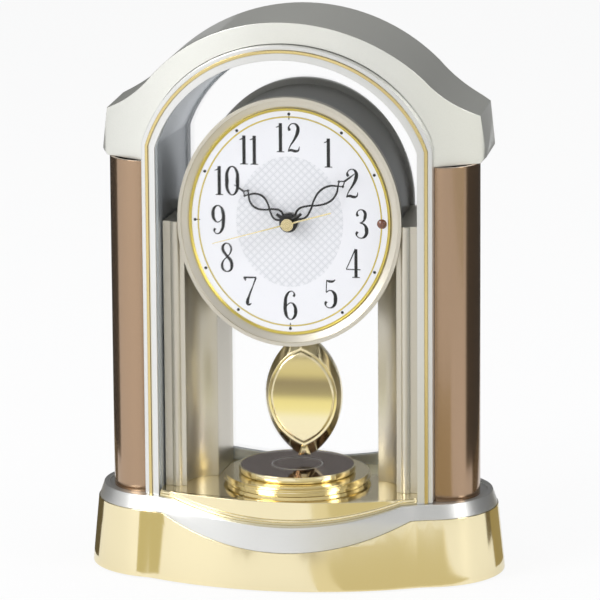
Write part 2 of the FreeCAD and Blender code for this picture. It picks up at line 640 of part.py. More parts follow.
def make_bezel_frame():
    bottom = S.rim_top
    lip = arch_ring(0.0, S.bezel_width, bottom, 0.0, S.bezel_lip_depth)
    seat = arch_ring(0.0, S.bezel_rebate_inset, bottom, S.bezel_lip_depth, S.bezel_depth)
    groove = arch_ring(S.bead_inset, S.bead_inset + S.bead_width, bottom - OVERRUN, -OVERRUN, S.bead_depth)
    return lip.fuse(seat).cut(groove).removeSplitter()


def make_bezel_bead():
    return arch_ring(S.bead_inset, S.bead_inset + S.bead_width, S.rim_top, -S.bead_stand, S.bead_depth)


def make_front_pane():
    depth = S.bezel_lip_depth + S.fit_gap
    pane = arch_prism(S.bezel_rebate_inset + S.fit_gap, S.deck_top, -BIG, 0.0)
    return pane.common(bow_slab(depth, depth + S.pane_thickness))


# Case liner: tapering tunnel from the bezel to the back frame


def liner_shape(wall):
    """Tapering arch-shaped block, grown outwards by wall."""
    wires = [
        arch_wire(S.liner_front_inset - wall, S.tray_top, -S.liner_front),
        arch_wire(S.liner_back_inset - wall, S.tray_top, S.case_back),
    ]
    return Part.makeLoft(wires, True, True)


def make_case_liner(deck):
    liner = liner_shape(S.liner_wall).cut(liner_shape(0.0))
    axis = V(0, S.bow_radius - S.bow_front, 0)
    behind_bezel = Part.makeCylinder(S.bow_radius - S.bezel_depth, BIG, axis)
    liner = liner.common(behind_bezel.fuse(box(-BIG, BIG, 0.0, BIG, -BIG, BIG)))
    legs = box(-BIG, BIG, -BIG, BIG, 0.0, S.deck_top + OVERRUN)
    inner = box(-S.deck_half_width, S.deck_half_width, -BIG, BIG, 0.0, S.deck_top)
    floor = liner.common(legs).cut(inner)
    reach = S.deck_half_width - S.fit_gap
    open_floor = box(-reach, reach, -BIG, BIG, 0.0, S.deck_top)
    floor = floor.cut(open_floor)
    upper = liner.common(box(-BIG, BIG, -BIG, BIG, S.deck_top, BIG))
    keep_walls = upper.fuse(floor).removeSplitter()
    return keep_walls.cut(deck)


# Back frame with its window, whose lower edge is a shallow arc


def window_prism(inset, bottom, y0, y1):
    """Window outline with an arched top and a lower edge that sags in the middle."""
    prism = arch_prism(inset, bottom - OVERRUN, y0, y1)
    sag = rod_y(S.window_smile_radius, y0, y1, 0.0, bottom + S.window_smile_radius)
    keep_side = prism.common(sag)
    return keep_side


def pedestal_room():
    """Space that the round pedestal takes, with a gap all round."""
    low = S.tray_top
    radius = S.pedestal_radius + S.pedestal_bead + S.fit_gap
    height = S.pedestal_step_top + S.fit_gap - low
    return Part.makeCylinder(radius, height, V(0, S.pedestal_y, low))


def make_rear_frame():
    y0, y1 = S.case_back, S.case_back + S.frame_thickness
    plate = arch_prism(0.0, S.tray_top, y0, y1)
    opening = window_prism(S.window_inset, S.window_bottom, y0 - OVERRUN, y1 + OVERRUN)
    return plate.cut(opening).cut(pedestal_room()).removeSplitter()


def make_rear_window():
    y1 = S.case_back
    y0 = y1 - S.window_thickness
    inset = S.liner_back_inset + S.fit_gap
    pane = arch_prism(inset, S.deck_top, y0, y1)
    gap = S.fit_gap
    hole = oval_prism(S.flange_half_width + gap, S.flange_half_height + gap, y0 - OVERRUN, y1 + OVERRUN)
    return pane.cut(hole).cut(pedestal_room()).removeSplitter()


# Dial unit: oval ring with two fluted pillars


def pillar_plan(wall):
    """Plan of the right pillar as a closed wire, moved inwards by wall."""
    front = -S.pillar_front + wall
    x_out = S.pillar_outer_front_x - wall
    x_back = S.pillar_outer_back_x - wall
    bar_out, bar_in = S.bar_outer_x - wall, S.bar_inner_x + wall
    cove_x = S.cove_front_x + wall
    cove_end = V(S.cove_back_x + wall, S.cove_back_y + wall, 0)
    wing = V(S.wing_back_x + wall, S.pillar_back, 0)
    cove_start = V(cove_x, front, 0)
    chord = cove_end - cove_start
    normal = V(-chord.y, chord.x, 0)
    cove_mid = (cove_start + cove_end) * HALF - normal * S.cove_depth_share
    bar_mid = V((bar_out + bar_in) * HALF, front - S.bar_stand, 0)
    p_out, p_bar_out = V(x_out, front, 0), V(bar_out, front, 0)
    p_bar_in = V(bar_in, front, 0)
    p_back = V(x_back, S.pillar_back, 0)
    edges = [
        Part.LineSegment(p_out, p_bar_out).toShape(),
        Part.Arc(p_bar_out, bar_mid, p_bar_in).toShape(),
        Part.LineSegment(p_bar_in, cove_start).toShape(),
        Part.Arc(cove_start, cove_mid, cove_end).toShape(),
        Part.LineSegment(cove_end, wing).toShape(),
        Part.LineSegment(wing, p_back).toShape(),
        Part.LineSegment(p_back, p_out).toShape(),
    ]
    return Part.Wire(edges)


def make_pillar(barrel_tool):
    """Right pillar: a shell with a closed top, cut round the housing barrel."""
    outer = Part.Face(pillar_plan(0.0)).extrude(V(0, 0, S.pillar_top - S.deck_top))
    outer.translate(V(0, 0, S.deck_top))
    inner = Part.Face(pillar_plan(S.pillar_wall)).extrude(V(0, 0, S.pillar_top - S.pillar_wall - S.deck_top))
    inner.translate(V(0, 0, S.deck_top))
    grown = S.pillar_wall
    thick = oval_loft(
        S.barrel_half_width + grown, S.barrel_half_height + grown, -S.pillar_front - OVERRUN - OVERRUN,
        S.barrel_back_half_width + grown, S.barrel_back_half_height + grown, S.case_back)
    inner = inner.cut(thick)
    return outer.cut(inner).cut(barrel_tool)


def make_dial_frame():
    gap = S.fit_gap
    barrel_tool = oval_loft(
        S.barrel_half_width + gap, S.barrel_half_height + gap, -S.barrel_front,
        S.barrel_back_half_width + gap, S.barrel_back_half_height + gap, S.case_back)
    back_y = -S.barrel_front
    lip_w, lip_h = S.ring_half_width - S.ring_lip, S.ring_half_height - S.ring_lip
    lip = oval_prism(S.ring_half_width, S.ring_half_height, -S.ring_front, back_y)
    groove = oval_prism(lip_w, lip_h, -S.ring_front - OVERRUN, -S.ring_front + S.ring_step)
    slope_y = -S.ring_front + S.ring_step + S.ring_slope
    step_y = -S.ring_front + S.ring_step
    band = oval_loft(lip_w, lip_h, step_y, S.gold_half_width, S.gold_half_height, slope_y)
    hole = oval_prism(S.gold_half_width, S.gold_half_height, slope_y - OVERRUN - OVERRUN, back_y + OVERRUN)
    ring = lip.cut(groove).cut(band).cut(hole)
    pillar = make_pillar(barrel_tool)
    inside = oval_prism(lip_w, lip_h, -BIG, back_y)
    pillar = pillar.cut(inside)
    return ring.fuse([pillar, mirrored(pillar)]).removeSplitter()


def make_dial_ring():
    y0, y1 = -S.dial_front - S.gold_stand, -S.dial_front
    ring = oval_prism(S.gold_half_width - S.screw_play, S.gold_half_height - S.screw_play, y0, y1)
    inner_w, inner_h = S.gold_half_width - S.gold_width, S.gold_half_height - S.gold_width
    slope = oval_loft(inner_w + S.gold_stand, inner_h + S.gold_stand, y0, inner_w, inner_h, y1)
    return ring.cut(slope)


def make_dial_plate():
    y0 = -S.dial_front
    play = S.screw_play
    plate = oval_prism(S.gold_half_width - play, S.gold_half_height - play, y0, y0 + S.dial_thickness)
    return plate.cut(rod_y(S.dial_hole, y0 - OVERRUN, y0 + OVERRUN, 0.0, S.dial_z))


def make_sensor_lens():
    r = S.sensor_radius
    h = S.sensor_height
    ball = (r ** 2 + h ** 2) / (h + h)
    sphere = Part.makeSphere(ball, V(S.sensor_x, -S.dial_front - h + ball, S.dial_z))
    return sphere.common(box(-BIG, BIG, -BIG, -S.dial_front, 0.0, BIG))


def make_dial_housing():
    back = S.case_back - S.flange_thickness
    front = -S.barrel_front
    wall = S.barrel_wall
    outer = oval_loft(S.barrel_half_width, S.barrel_half_height, front,
                      S.barrel_back_half_width, S.barrel_back_half_height, back)
    inner = oval_loft(S.barrel_half_width - wall, S.barrel_half_height - wall, front,
                      S.barrel_back_half_width - wall, S.barrel_back_half_height - wall, back)
    flange = oval_prism(S.flange_half_width, S.flange_half_height, back, S.case_back)
    hole_w, hole_h = S.barrel_back_half_width - wall, S.barrel_back_half_height - wall
    flange = flange.cut(oval_prism(hole_w, hole_h, back - OVERRUN, S.case_back + OVERRUN))
    shell = outer.cut(inner).fuse(flange)
    ears = housing_bosses(S.housing_boss_radius)
    grip = outer.common(Part.makeCompound(ears))
    shell = shell.fuse(grip)
    for bore in housing_bosses(S.housing_screw_radius + S.screw_play):
        shell = shell.cut(bore)
    low = S.dial_z - S.barrel_half_height - OVERRUN
    high = low + S.rod_slot_height
    slot = box(-S.rod_slot_half, S.rod_slot_half, S.rod_slot_front, S.rod_slot_back, low, high)
    return shell.cut(slot).removeSplitter()


def housing_spots():
    """Places of the four screws that hold the back cover."""
    spots = []
    for side in (-1, 1):
        for end in (-1, 1):
            spots.append((side * S.housing_screw_x, S.dial_z + end * S.housing_screw_drop))
    return spots


def housing_bosses(radius):
    """Rods along Y behind the back cover, round its screws."""
    y0 = S.case_back - S.housing_screw_length
    return [rod_y(radius, y0, S.case_back, x, z) for x, z in housing_spots()]


# Movement case and cover


def train_places():
    """Places of the train's axes in the plane of the dial, as offsets from its centre."""
    going = (S.second_pinion_teeth + S.third_wheel_teeth) * S.going_module * HALF
    motion = (S.cannon_teeth + S.minute_wheel_teeth) * S.motion_module * HALF
    fifth = (S.fifth_pinion_teeth + S.second_wheel_teeth) * S.fifth_module * HALF
    rotor = (S.rotor_pinion_teeth + S.fifth_wheel_teeth) * S.rotor_module * HALF
    angle = S.rotor_turn_deg * DEG
    return {
        "third": (0.0, going),
        "minute": (motion, 0.0),
        "fifth": (-fifth, 0.0),
        "rotor": (-fifth + rotor * math.cos(angle), rotor * math.sin(angle)),
    }


TRAIN = train_places()
CASE_Y = -S.movement_front
CASE_BACK_Y = CASE_Y + S.movement_depth
COVER_BACK_Y = CASE_BACK_Y + S.movement_cover_thickness


def make_movement_case():
    half = S.movement_size * HALF
    wall = S.movement_wall
    case = box(-half, half, CASE_Y, CASE_BACK_Y, S.dial_z - half, S.dial_z + half)
    reach = half - wall
    room = box(-reach, reach, CASE_Y + wall, CASE_BACK_Y, S.dial_z - reach, S.dial_z + reach)
    case = case.cut(room)
    bush = rod_y(S.bush_radius, -S.bush_front, CASE_Y, 0.0, S.dial_z)
    bore = rod_y(S.hour_pipe_radius + S.running_play, -BIG, 0.0, 0.0, S.dial_z)
    case = case.fuse(bush).cut(bore)
    x, z = TRAIN["third"]
    case = case.cut(rod_y(S.arbor_radius + S.running_play, CASE_Y, CASE_Y + wall, x, S.dial_z + z))
    x, z = TRAIN["minute"]
    stud_end = at_y(S.minute_wheel_at) + S.wheel_thickness + S.arbor_end_gap
    stud = rod_y(S.arbor_radius, CASE_Y, stud_end, x, S.dial_z + z)
    return case.fuse(stud).removeSplitter()


def make_movement_plate():
    """Middle plate that carries the front ends of the fifth wheel's and the rotor's arbors."""
    y0 = at_y(S.plate_at)
    y1 = y0 + S.plate_thickness
    tall = S.plate_half_height
    plate = box(-S.plate_left, -S.plate_right, y0, y1, S.dial_z - tall, S.dial_z + tall)
    for side in (-1, 1):
        z = S.dial_z + side * S.plate_post_z
        plate = plate.fuse(rod_y(S.plate_post_radius, CASE_Y + S.movement_wall, y0, -S.plate_post_x, z))
    for name in ("fifth", "rotor"):
        x, z = TRAIN[name]
        plate = plate.cut(rod_y(S.arbor_radius + S.running_play, y0, y1, x, S.dial_z + z))
    return plate.removeSplitter()


def make_movement_cover():
    half = S.movement_size * HALF
    cover = box(-half, half, CASE_BACK_Y, COVER_BACK_Y, S.dial_z - half, S.dial_z + half)
    for name in ("third", "fifth", "rotor"):
        x, z = TRAIN[name]
        cover = cover.cut(rod_y(S.arbor_radius + S.running_play, CASE_BACK_Y, COVER_BACK_Y, x, S.dial_z + z))
    centre = rod_y(S.second_arbor_radius + S.running_play, CASE_BACK_Y, COVER_BACK_Y, 0.0, S.dial_z)
    return cover.cut(centre)


def make_dial_nut():
    nut = rod_y(S.nut_radius, -S.dial_front - S.nut_thickness, -S.dial_front, 0.0, S.dial_z)
    return nut.cut(rod_y(S.bush_radius + S.screw_play, -BIG, 0.0, 0.0, S.dial_z))


# Gears: straight-flanked teeth with their middle at a chosen angle


def gear(teeth, module, y0, thickness, place, angle):
    """Toothed wheel along Y, with one tooth's middle at angle from +X towards +Z."""
    pitch = teeth * module * HALF
    root = pitch - S.tooth_root_share * module
    tip = pitch + S.tooth_add_share * module
    half_tooth = math.pi / teeth * S.tooth_width_share
    half_base = half_tooth * S.tooth_base_share
    half_tip = half_tooth * S.tooth_tip_share
    rings = (
        (root, -half_base), (pitch, -half_tooth), (tip, -half_tip),
        (tip, half_tip), (pitch, half_tooth), (root, half_base),
    )
    spots = []
    for i in range(int(teeth)):
        middle = angle + i * math.tau / teeth
        for radius, turn in rings:
            x = place[0] + radius * math.cos(middle + turn)
            z = S.dial_z + place[1] + radius * math.sin(middle + turn)
            spots.append(V(x, y0, z))
    spots.append(spots[0])
    face = Part.Face(Part.makePolygon(spots))
    return face.extrude(V(0, thickness, 0))


def toward(a, b):
    """Angle of the line from one axis to another."""
    return math.atan2(b[1] - a[1], b[0] - a[0])


CENTRE = (0.0, 0.0)


def at_y(offset):
    """Depth of a wheel, measured from the case's front."""
    return CASE_Y + offset


def make_hour_wheel():
    angle = toward(CENTRE, TRAIN["minute"])
    motion = (S.cannon_teeth + S.minute_wheel_teeth) * S.motion_module
    module = motion / (S.minute_pinion_teeth + S.hour_wheel_teeth)
    y0 = at_y(S.hour_wheel_at)
    wheel = gear(S.hour_wheel_teeth, module, y0, S.wheel_thickness, CENTRE, angle)
    pipe = rod_y(S.hour_pipe_radius, -S.hour_hand_at, y0 + S.wheel_thickness, 0.0, S.dial_z)
    bore = rod_y(S.cannon_pipe_radius + S.running_play, -BIG, BIG, 0.0, S.dial_z)
    return wheel.fuse(pipe).cut(bore).removeSplitter()


def make_minute_wheel():
    place = TRAIN["minute"]
    back = toward(place, CENTRE)
    motion = (S.cannon_teeth + S.minute_wheel_teeth) * S.motion_module
    module = motion / (S.minute_pinion_teeth + S.hour_wheel_teeth)
    y0 = at_y(S.minute_wheel_at)
    gap_turn = math.pi / S.minute_wheel_teeth
    pinion_turn = math.pi / S.minute_pinion_teeth
    wheel = gear(S.minute_wheel_teeth, S.motion_module, y0, S.wheel_thickness, place, back + gap_turn)
    pinion_y = at_y(S.hour_wheel_at)
    pinion = gear(S.minute_pinion_teeth, module, pinion_y, y0 - pinion_y, place, back + pinion_turn)
    bore = rod_y(S.arbor_radius + S.running_play, -BIG, BIG, place[0], S.dial_z + place[1])
    return wheel.fuse(pinion).cut(bore).removeSplitter()


def with_arbor(shape, place, front):
    """Adds the arbor that turns in the case or middle plate and in the cover."""
    y0 = front + S.arbor_end_gap
    y1 = COVER_BACK_Y - S.arbor_end_gap
    arbor = rod_y(S.arbor_radius, y0, y1, place[0], S.dial_z + place[1])
    return shape.fuse(arbor).removeSplitter()


def make_centre_wheel():
    module = going_second_module()
    y0 = at_y(S.centre_wheel_at)
    up = toward(CENTRE, TRAIN["third"])
    side = toward(CENTRE, TRAIN["minute"])
    wheel = gear(S.centre_wheel_teeth, module, y0, S.wheel_thickness, CENTRE, up)
    cannon_y = at_y(S.minute_wheel_at) - S.arbor_end_gap
    cannon = gear(S.cannon_teeth, S.motion_module, cannon_y, y0 - cannon_y, CENTRE, side)
    pipe = rod_y(S.cannon_pipe_radius, -S.minute_hand_at, y0 + S.wheel_thickness, 0.0, S.dial_z)
    bore = rod_y(S.second_arbor_radius + S.running_play, -BIG, BIG, 0.0, S.dial_z)
    return wheel.fuse([cannon, pipe]).cut(bore).removeSplitter()


def going_second_module():
    """Module that lets the third pinion and the centre wheel share the first pair's distance."""
    distance = (S.second_pinion_teeth + S.third_wheel_teeth) * S.going_module
    return distance / (S.third_pinion_teeth + S.centre_wheel_teeth)


def make_third_wheel():
    place = TRAIN["third"]
    down = toward(place, CENTRE)
    y0 = at_y(S.third_wheel_at)
    wheel_turn = math.pi / S.third_wheel_teeth
    pinion_turn = math.pi / S.third_pinion_teeth
    wheel = gear(S.third_wheel_teeth, S.going_module, y0, S.wheel_thickness, place, down + wheel_turn)
    pinion_y = at_y(S.centre_wheel_at) - S.arbor_end_gap
    module = going_second_module()
    pinion = gear(S.third_pinion_teeth, module, pinion_y, y0 - pinion_y, place, down + pinion_turn)
    return with_arbor(wheel.fuse(pinion), place, CASE_Y)


def make_second_wheel():
    up = toward(CENTRE, TRAIN["third"])
    side = toward(CENTRE, TRAIN["fifth"])
    pinion_y = at_y(S.third_wheel_at) - S.arbor_end_gap
    wheel_y = at_y(S.second_wheel_at)
    pinion = gear(S.second_pinion_teeth, S.going_module, pinion_y, wheel_y - pinion_y, CENTRE, up)
    wheel = gear(S.second_wheel_teeth, S.fifth_module, wheel_y, S.wheel_thickness, CENTRE, side)
    arbor = rod_y(S.second_arbor_radius, -S.second_hand_at, COVER_BACK_Y - S.arbor_end_gap, 0.0, S.dial_z)
    return pinion.fuse([wheel, arbor]).removeSplitter()


def make_fifth_wheel():
    place = TRAIN["fifth"]
    back = toward(place, CENTRE)
    to_rotor = toward(place, TRAIN["rotor"])
    y0 = at_y(S.fifth_wheel_at)
    pinion_y = at_y(S.second_wheel_at) - S.arbor_end_gap
    pinion_turn = math.pi / S.fifth_pinion_teeth
    pinion = gear(S.fifth_pinion_teeth, S.fifth_module, pinion_y, y0 - pinion_y, place, back + pinion_turn)
    wheel = gear(S.fifth_wheel_teeth, S.rotor_module, y0, S.wheel_thickness, place, to_rotor)
    return with_arbor(pinion.fuse(wheel), place, at_y(S.plate_at))


def make_rotor():
    place = TRAIN["rotor"]
    back = toward(place, TRAIN["fifth"])
    turn = math.pi / S.rotor_pinion_teeth
    y0 = at_y(S.fifth_wheel_at) - S.arbor_end_gap
    pinion = gear(S.rotor_pinion_teeth, S.rotor_module, y0, S.pinion_length, place, back + turn)
    magnet_y = y0 - S.rotor_magnet_length - S.stator_thickness
    magnet_end = magnet_y + S.rotor_magnet_length
    magnet = rod_y(S.rotor_magnet_radius, magnet_y, magnet_end, place[0], S.dial_z + place[1])
    return with_arbor(pinion.fuse(magnet), place, at_y(S.plate_at))


def rotor_magnet_middle():
    """Depth of the middle of the rotor's magnet."""
    y0 = at_y(S.fifth_wheel_at) - S.arbor_end_gap
    return y0 - S.stator_thickness - S.rotor_magnet_length * HALF


def make_stator_plate():
    x, z = TRAIN["rotor"]
    z += S.dial_z
    y0 = rotor_magnet_middle() - S.stator_thickness * HALF
    half = S.stator_width * HALF
    low = z - S.coil_drop - S.coil_radius
    reach = S.coil_length * HALF
    plate = box(x - reach, x + reach, y0, y0 + S.stator_thickness, low, z + half)
    middle = box(x - S.coil_length * HALF + half * HALF, x + S.coil_length * HALF - half * HALF,
                 y0 - OVERRUN, y0 + OVERRUN, low - OVERRUN, z - half)
    hole = rod_y(S.rotor_magnet_radius + S.stator_gap, y0 - OVERRUN, y0 + OVERRUN, x, z)
    plate = plate.cut(middle).cut(hole)
    post_x = x - S.coil_length * HALF + half * HALF * HALF
    post = rod_y(S.arbor_radius + S.arbor_radius, CASE_Y + S.movement_wall, y0, post_x, z)
    return plate.fuse(post).removeSplitter()


def make_stepper_coil():
    x, z = TRAIN["rotor"]
    z += S.dial_z - S.coil_drop
    half = S.coil_length * HALF - S.stator_width * HALF * HALF - S.screw_play
    y = rotor_magnet_middle()
    return rod_x(S.coil_radius, x - half, x + half, y, z)


# Hands, built upright and turned to the shown time


def turn_hand(shape, angle_deg):
    """Turns an upright hand clockwise, as seen from the front."""
    shape.rotate(V(0, 0, S.dial_z), V(0, 1, 0), angle_deg)
    return shape


def leaf_ring(y, low, high, bulge):
    """Open leaf between two heights: two crossing curved lines of the hand."""
    line = S.hand_line
    middle = (low + high) * HALF
    solids = []
    for grow in (0.0, line):
        side = bulge - grow
        z0, z1 = S.dial_z + low + grow, S.dial_z + high - grow
        left = Part.Arc(V(0, y, z0), V(-side, y, S.dial_z + middle), V(0, y, z1)).toShape()
        right = Part.Arc(V(0, y, z1), V(side, y, S.dial_z + middle), V(0, y, z0)).toShape()
        solids.append(Part.Face(Part.Wire([left, right])).extrude(V(0, S.hand_thickness, 0)))
    return solids[0].cut(solids[1])


def lozenge(y, low, high, half):
    """Open lozenge frame of the hand."""
    line = S.hand_line
    solids = []
    for grow in (0.0, line):
        z0, z1 = S.dial_z + low + grow, S.dial_z + high - grow
        mid = (z0 + z1) * HALF
        side = half - grow
        spots = [V(0, y, z0), V(side, y, mid), V(0, y, z1), V(-side, y, mid), V(0, y, z0)]
        solids.append(Part.Face(Part.makePolygon(spots)).extrude(V(0, S.hand_thickness, 0)))
    return solids[0].cut(solids[1])


HAND_LEAF_SHARES = (0.09, 0.43, 0.70)
HAND_LOZENGE_SHARES = (0.68, 0.86)
HOUR_LEAF_SHARES = (0.10, 0.60)
HOUR_LOZENGE_SHARES = (0.57, 0.80)
LEAF_BULGE_SHARE = 0.066
LOZENGE_HALF_SHARE = 0.075


def fancy_hand(y, length, leaf_shares, lozenge_shares, bore):
    """Openwork hand: leaves, a lozenge with two balls, and a needle tip."""
    pieces = []
    bulge = S.minute_hand_length * LEAF_BULGE_SHARE
    half = S.minute_hand_length * LOZENGE_HALF_SHARE
    for low, high in zip(leaf_shares, leaf_shares[1:]):
        overlap = S.hand_line
        pieces.append(leaf_ring(y, low * length - overlap, high * length + overlap, bulge))
    low, high = (share * length for share in lozenge_shares)
    pieces.append(lozenge(y, low, high, half))
    mid = S.dial_z + (low + high) * HALF
    for side in (-half, half):
        pieces.append(rod_y(S.hand_ball_radius, y, y + S.hand_thickness, side, mid))
    line = S.hand_line
    needle = [V(-line, y, S.dial_z + high - line), V(0, y, S.dial_z + length),
              V(line, y, S.dial_z + high - line), V(-line, y, S.dial_z + high - line)]
    pieces.append(Part.Face(Part.makePolygon(needle)).extrude(V(0, S.hand_thickness, 0)))
    hub = rod_y(S.hand_hub_radius, y, y + S.hand_thickness, 0.0, S.dial_z)
    hand = hub.fuse(pieces)
    return hand.cut(rod_y(bore, -BIG, BIG, 0.0, S.dial_z)).removeSplitter()


def make_hour_hand():
    y = -S.hour_hand_at - S.hand_thickness
    hand = fancy_hand(y, S.hour_hand_length, HOUR_LEAF_SHARES, HOUR_LOZENGE_SHARES,
                      S.cannon_pipe_radius + S.running_play)
    return turn_hand(hand, S.hour_angle_deg)


def make_minute_hand():
    y = -S.minute_hand_at - S.hand_thickness
    hand = fancy_hand(y, S.minute_hand_length, HAND_LEAF_SHARES, HAND_LOZENGE_SHARES,
                      S.second_arbor_radius + S.running_play)
    return turn_hand(hand, S.minute_angle_deg)


def make_second_hand():
    y = -S.second_hand_at - S.hand_thickness
    half = S.second_hand_width * HALF
    spots = [V(-half, y, S.dial_z - S.second_tail_length), V(half, y, S.dial_z - S.second_tail_length),
             V(half, y, S.dial_z), V(half * HALF, y, S.dial_z + S.second_hand_length),
             V(-half * HALF, y, S.dial_z + S.second_hand_length), V(-half, y, S.dial_z)]
    spots.append(spots[0])
    needle = Part.Face(Part.makePolygon(spots)).extrude(V(0, S.hand_thickness, 0))
    cap = rod_y(S.cap_radius, y - S.cap_height, y + S.hand_thickness, 0.0, S.dial_z)
    return turn_hand(needle.fuse(cap).removeSplitter(), S.second_angle_deg)


# Pedestal: two turned steps under a dark mirror


def make_pedestal():
    bead = "pedestal_radius + pedestal_bead"
    step = "pedestal_step_top - deck_top"
    body = [
        ("0 * lobe_x", "0 * lobe_x"),
        ("pedestal_radius - pedestal_foot_inset", "0 * lobe_x"),
        ("pedestal_radius - pedestal_foot_inset", "(%s) * 0.42" % step),
        (bead, "(%s) * 0.46" % step),
        (bead, "(%s) * 0.56" % step),
        ("pedestal_radius - pedestal_waist_inset", "(%s) * 0.6" % step),
        ("pedestal_radius", step),
        ("0 * lobe_x", step),
    ]
    turned_body("pedestal_base", body, ("0 * lobe_x", "pedestal_y", "deck_top"))
    height = "pedestal_top_z - pedestal_step_top"
    recess = "pedestal_top_radius - pedestal_rim_width"
    top = [
        ("0 * lobe_x", "0 * lobe_x"),
        ("pedestal_top_radius - pedestal_waist_inset", "0 * lobe_x"),
        ("pedestal_top_radius", "(%s) * 0.3" % height),
        ("pedestal_top_radius", height),
        (recess, height),
        (recess, "%s - mirror_thickness" % height),
        ("0 * lobe_x", "%s - mirror_thickness" % height),
    ]
    turned_body("pedestal_top", top, ("0 * lobe_x", "pedestal_y", "pedestal_step_top"))
    mirror = bound_cylinder("pedestal_mirror", recess + " - screw_play", "mirror_thickness - screw_play",
                            ("0 * lobe_x", "pedestal_y", "pedestal_top_z - mirror_thickness"))
    keep(mirror, "pedestal_mirror")


# Pendulum, built upright and swung to where it rests in the shown moment


def swung(shape):
    """Turns a piece of the pendulum about its pivot."""
    shape.rotate(V(0, 0, S.pivot_z), V(0, 1, 0), S.swing_deg)
    return shape


def almond(half_width, half_height, y, z):
    """Almond outline of two arcs in the plane of constant y."""
    top, low = V(0, y, z + half_height), V(0, y, z - half_height)
    right = Part.Arc(low, V(half_width, y, z), top).toShape()
    left = Part.Arc(top, V(-half_width, y, z), low).toShape()
    return Part.Wire([right, left])


def almond_loft(width0, height0, y0, width1, height1, y1):
    """Solid between two almonds about the bob's middle."""
    wires = [almond(width0, height0, y0, S.bob_z), almond(width1, height1, y1, S.bob_z)]
    return Part.makeLoft(wires, True, True)


def make_pendulum_bob():
    mid = S.pendulum_y
    edge = S.bob_edge * HALF
    rim_w, rim_h = S.bob_half_width, S.bob_half_height
    belt = almond_loft(rim_w, rim_h, mid - edge, rim_w, rim_h, mid + edge)
    face_w, face_h = S.face_half_width + S.face_thickness, S.face_half_height + S.face_thickness
    front = almond_loft(face_w, face_h, mid - edge - S.bob_bevel, rim_w, rim_h, mid - edge)
    back = almond_loft(rim_w, rim_h, mid + edge, face_w, face_h, mid + edge + S.bob_bevel)
    bob = belt.fuse([front, back])
    bob = bob.common(box(-BIG, BIG, -BIG, BIG, S.bob_z - S.bob_cut, S.bob_z + S.bob_cut))
    reach = mid - edge - S.bob_bevel
    seat = almond_loft(S.face_half_width, S.face_half_height, reach - OVERRUN,
                       S.face_half_width, S.face_half_height, reach + S.face_sink)
    bob = bob.cut(seat)
    hanger_low = S.bob_z + S.bob_cut - S.hanger_height
    room = box(-S.hanger_width * HALF, S.hanger_width * HALF, mid - S.hanger_thickness * HALF,
               mid + S.hanger_thickness * HALF, hanger_low, BIG)
    bob = bob.cut(room)
    return bob.cut(tip_block(0.0)).removeSplitter()


def make_bob_face():
    reach = S.pendulum_y - S.bob_edge * HALF - S.bob_bevel + S.face_sink
    play = S.screw_play
    width, height = S.face_half_width - play, S.face_half_height - play
    plate = almond_loft(width, height, reach - S.face_thickness * HALF, width, height, reach)
    dome = almond_loft(width - S.face_thickness, height - S.face_thickness, reach - S.face_thickness,
                       width, height, reach - S.face_thickness * HALF)
    return plate.fuse(dome).removeSplitter()


def tip_block(gap):
    """Faceted block at the bob's lower tip."""
    y0 = S.pendulum_y - S.bob_edge * HALF - S.bob_bevel
    low = S.bob_z - S.bob_cut
    half = S.tip_width * HALF - gap
    upper = half * HALF
    spots = [V(-half, y0, low), V(half, y0, low), V(upper, y0, low + S.tip_height),
             V(-upper, y0, low + S.tip_height), V(-half, y0, low)]
    outer = Part.makePolygon(spots)
    inner = Part.makePolygon([V(p.x * HALF, y0 - S.tip_thickness * HALF, (p.z + low + S.tip_height * HALF) * HALF)
                              for p in spots])
    front = Part.makeLoft([inner, outer], True, True)
    body = Part.Face(outer).extrude(V(0, S.tip_thickness * HALF, 0))
    return front.fuse(body).removeSplitter()


def make_bob_hanger():
    low = S.bob_z + S.bob_cut - S.hanger_height
    half = S.hanger_width * HALF - S.screw_play
    deep = S.hanger_thickness * HALF - S.screw_play
    top = low + S.hanger_height + S.hanger_height * HALF
    block = box(-half, half, S.pendulum_y - deep, S.pendulum_y + deep, low + S.screw_play, top)
    edges = [e for e in block.Edges if e.BoundBox.YLength > deep and e.BoundBox.ZMin > low + S.hanger_height]
    block = block.makeChamfer(S.hanger_width * HALF * HALF, edges)
    rod = rod_strip(S.screw_play)
    return block.cut(rod)


def rod_strip(gap):
    """Flat strip of the rod from the bob to the pivot's eye, grown by gap."""
    half = S.rod_width * HALF + gap
    deep = S.rod_thickness * HALF + gap
    low = S.bob_z + S.bob_cut - gap
    return box(-half, half, S.pendulum_y - deep, S.pendulum_y + deep, low, S.pivot_z)


def make_pendulum_rod():
    deep = S.rod_thickness * HALF
    eye = rod_y(S.eye_radius, S.pendulum_y - deep - deep, S.pendulum_y + deep + deep, 0.0, S.pivot_z)
    rod = rod_strip(0.0).fuse(eye)
    bore = rod_y(S.pivot_radius + S.running_play, 0.0, BIG, 0.0, S.pivot_z)
    return rod.cut(bore).removeSplitter()


def make_pendulum_magnet():
    y1 = S.pendulum_y - S.rod_thickness * HALF
    y0 = y1 - S.magnet_thickness
    half, tall = S.magnet_width * HALF, S.magnet_height * HALF
    return box(-half, half, y0, y1, S.magnet_z - tall, S.magnet_z + tall)


def make_pendulum_pivot():
    deep = S.rod_thickness
    pin = rod_y(S.pivot_radius, COVER_BACK_Y, S.pendulum_y + deep + S.rod_thickness, 0.0, S.pivot_z)
    collar = rod_y(S.eye_radius, COVER_BACK_Y, S.pendulum_y - deep - S.fit_gap, 0.0, S.pivot_z)
    end = S.pendulum_y + deep + S.fit_gap
    head = rod_y(S.eye_radius * HALF + S.pivot_radius * HALF, end, end + deep, 0.0, S.pivot_z)
    return pin.fuse([collar, head]).removeSplitter()


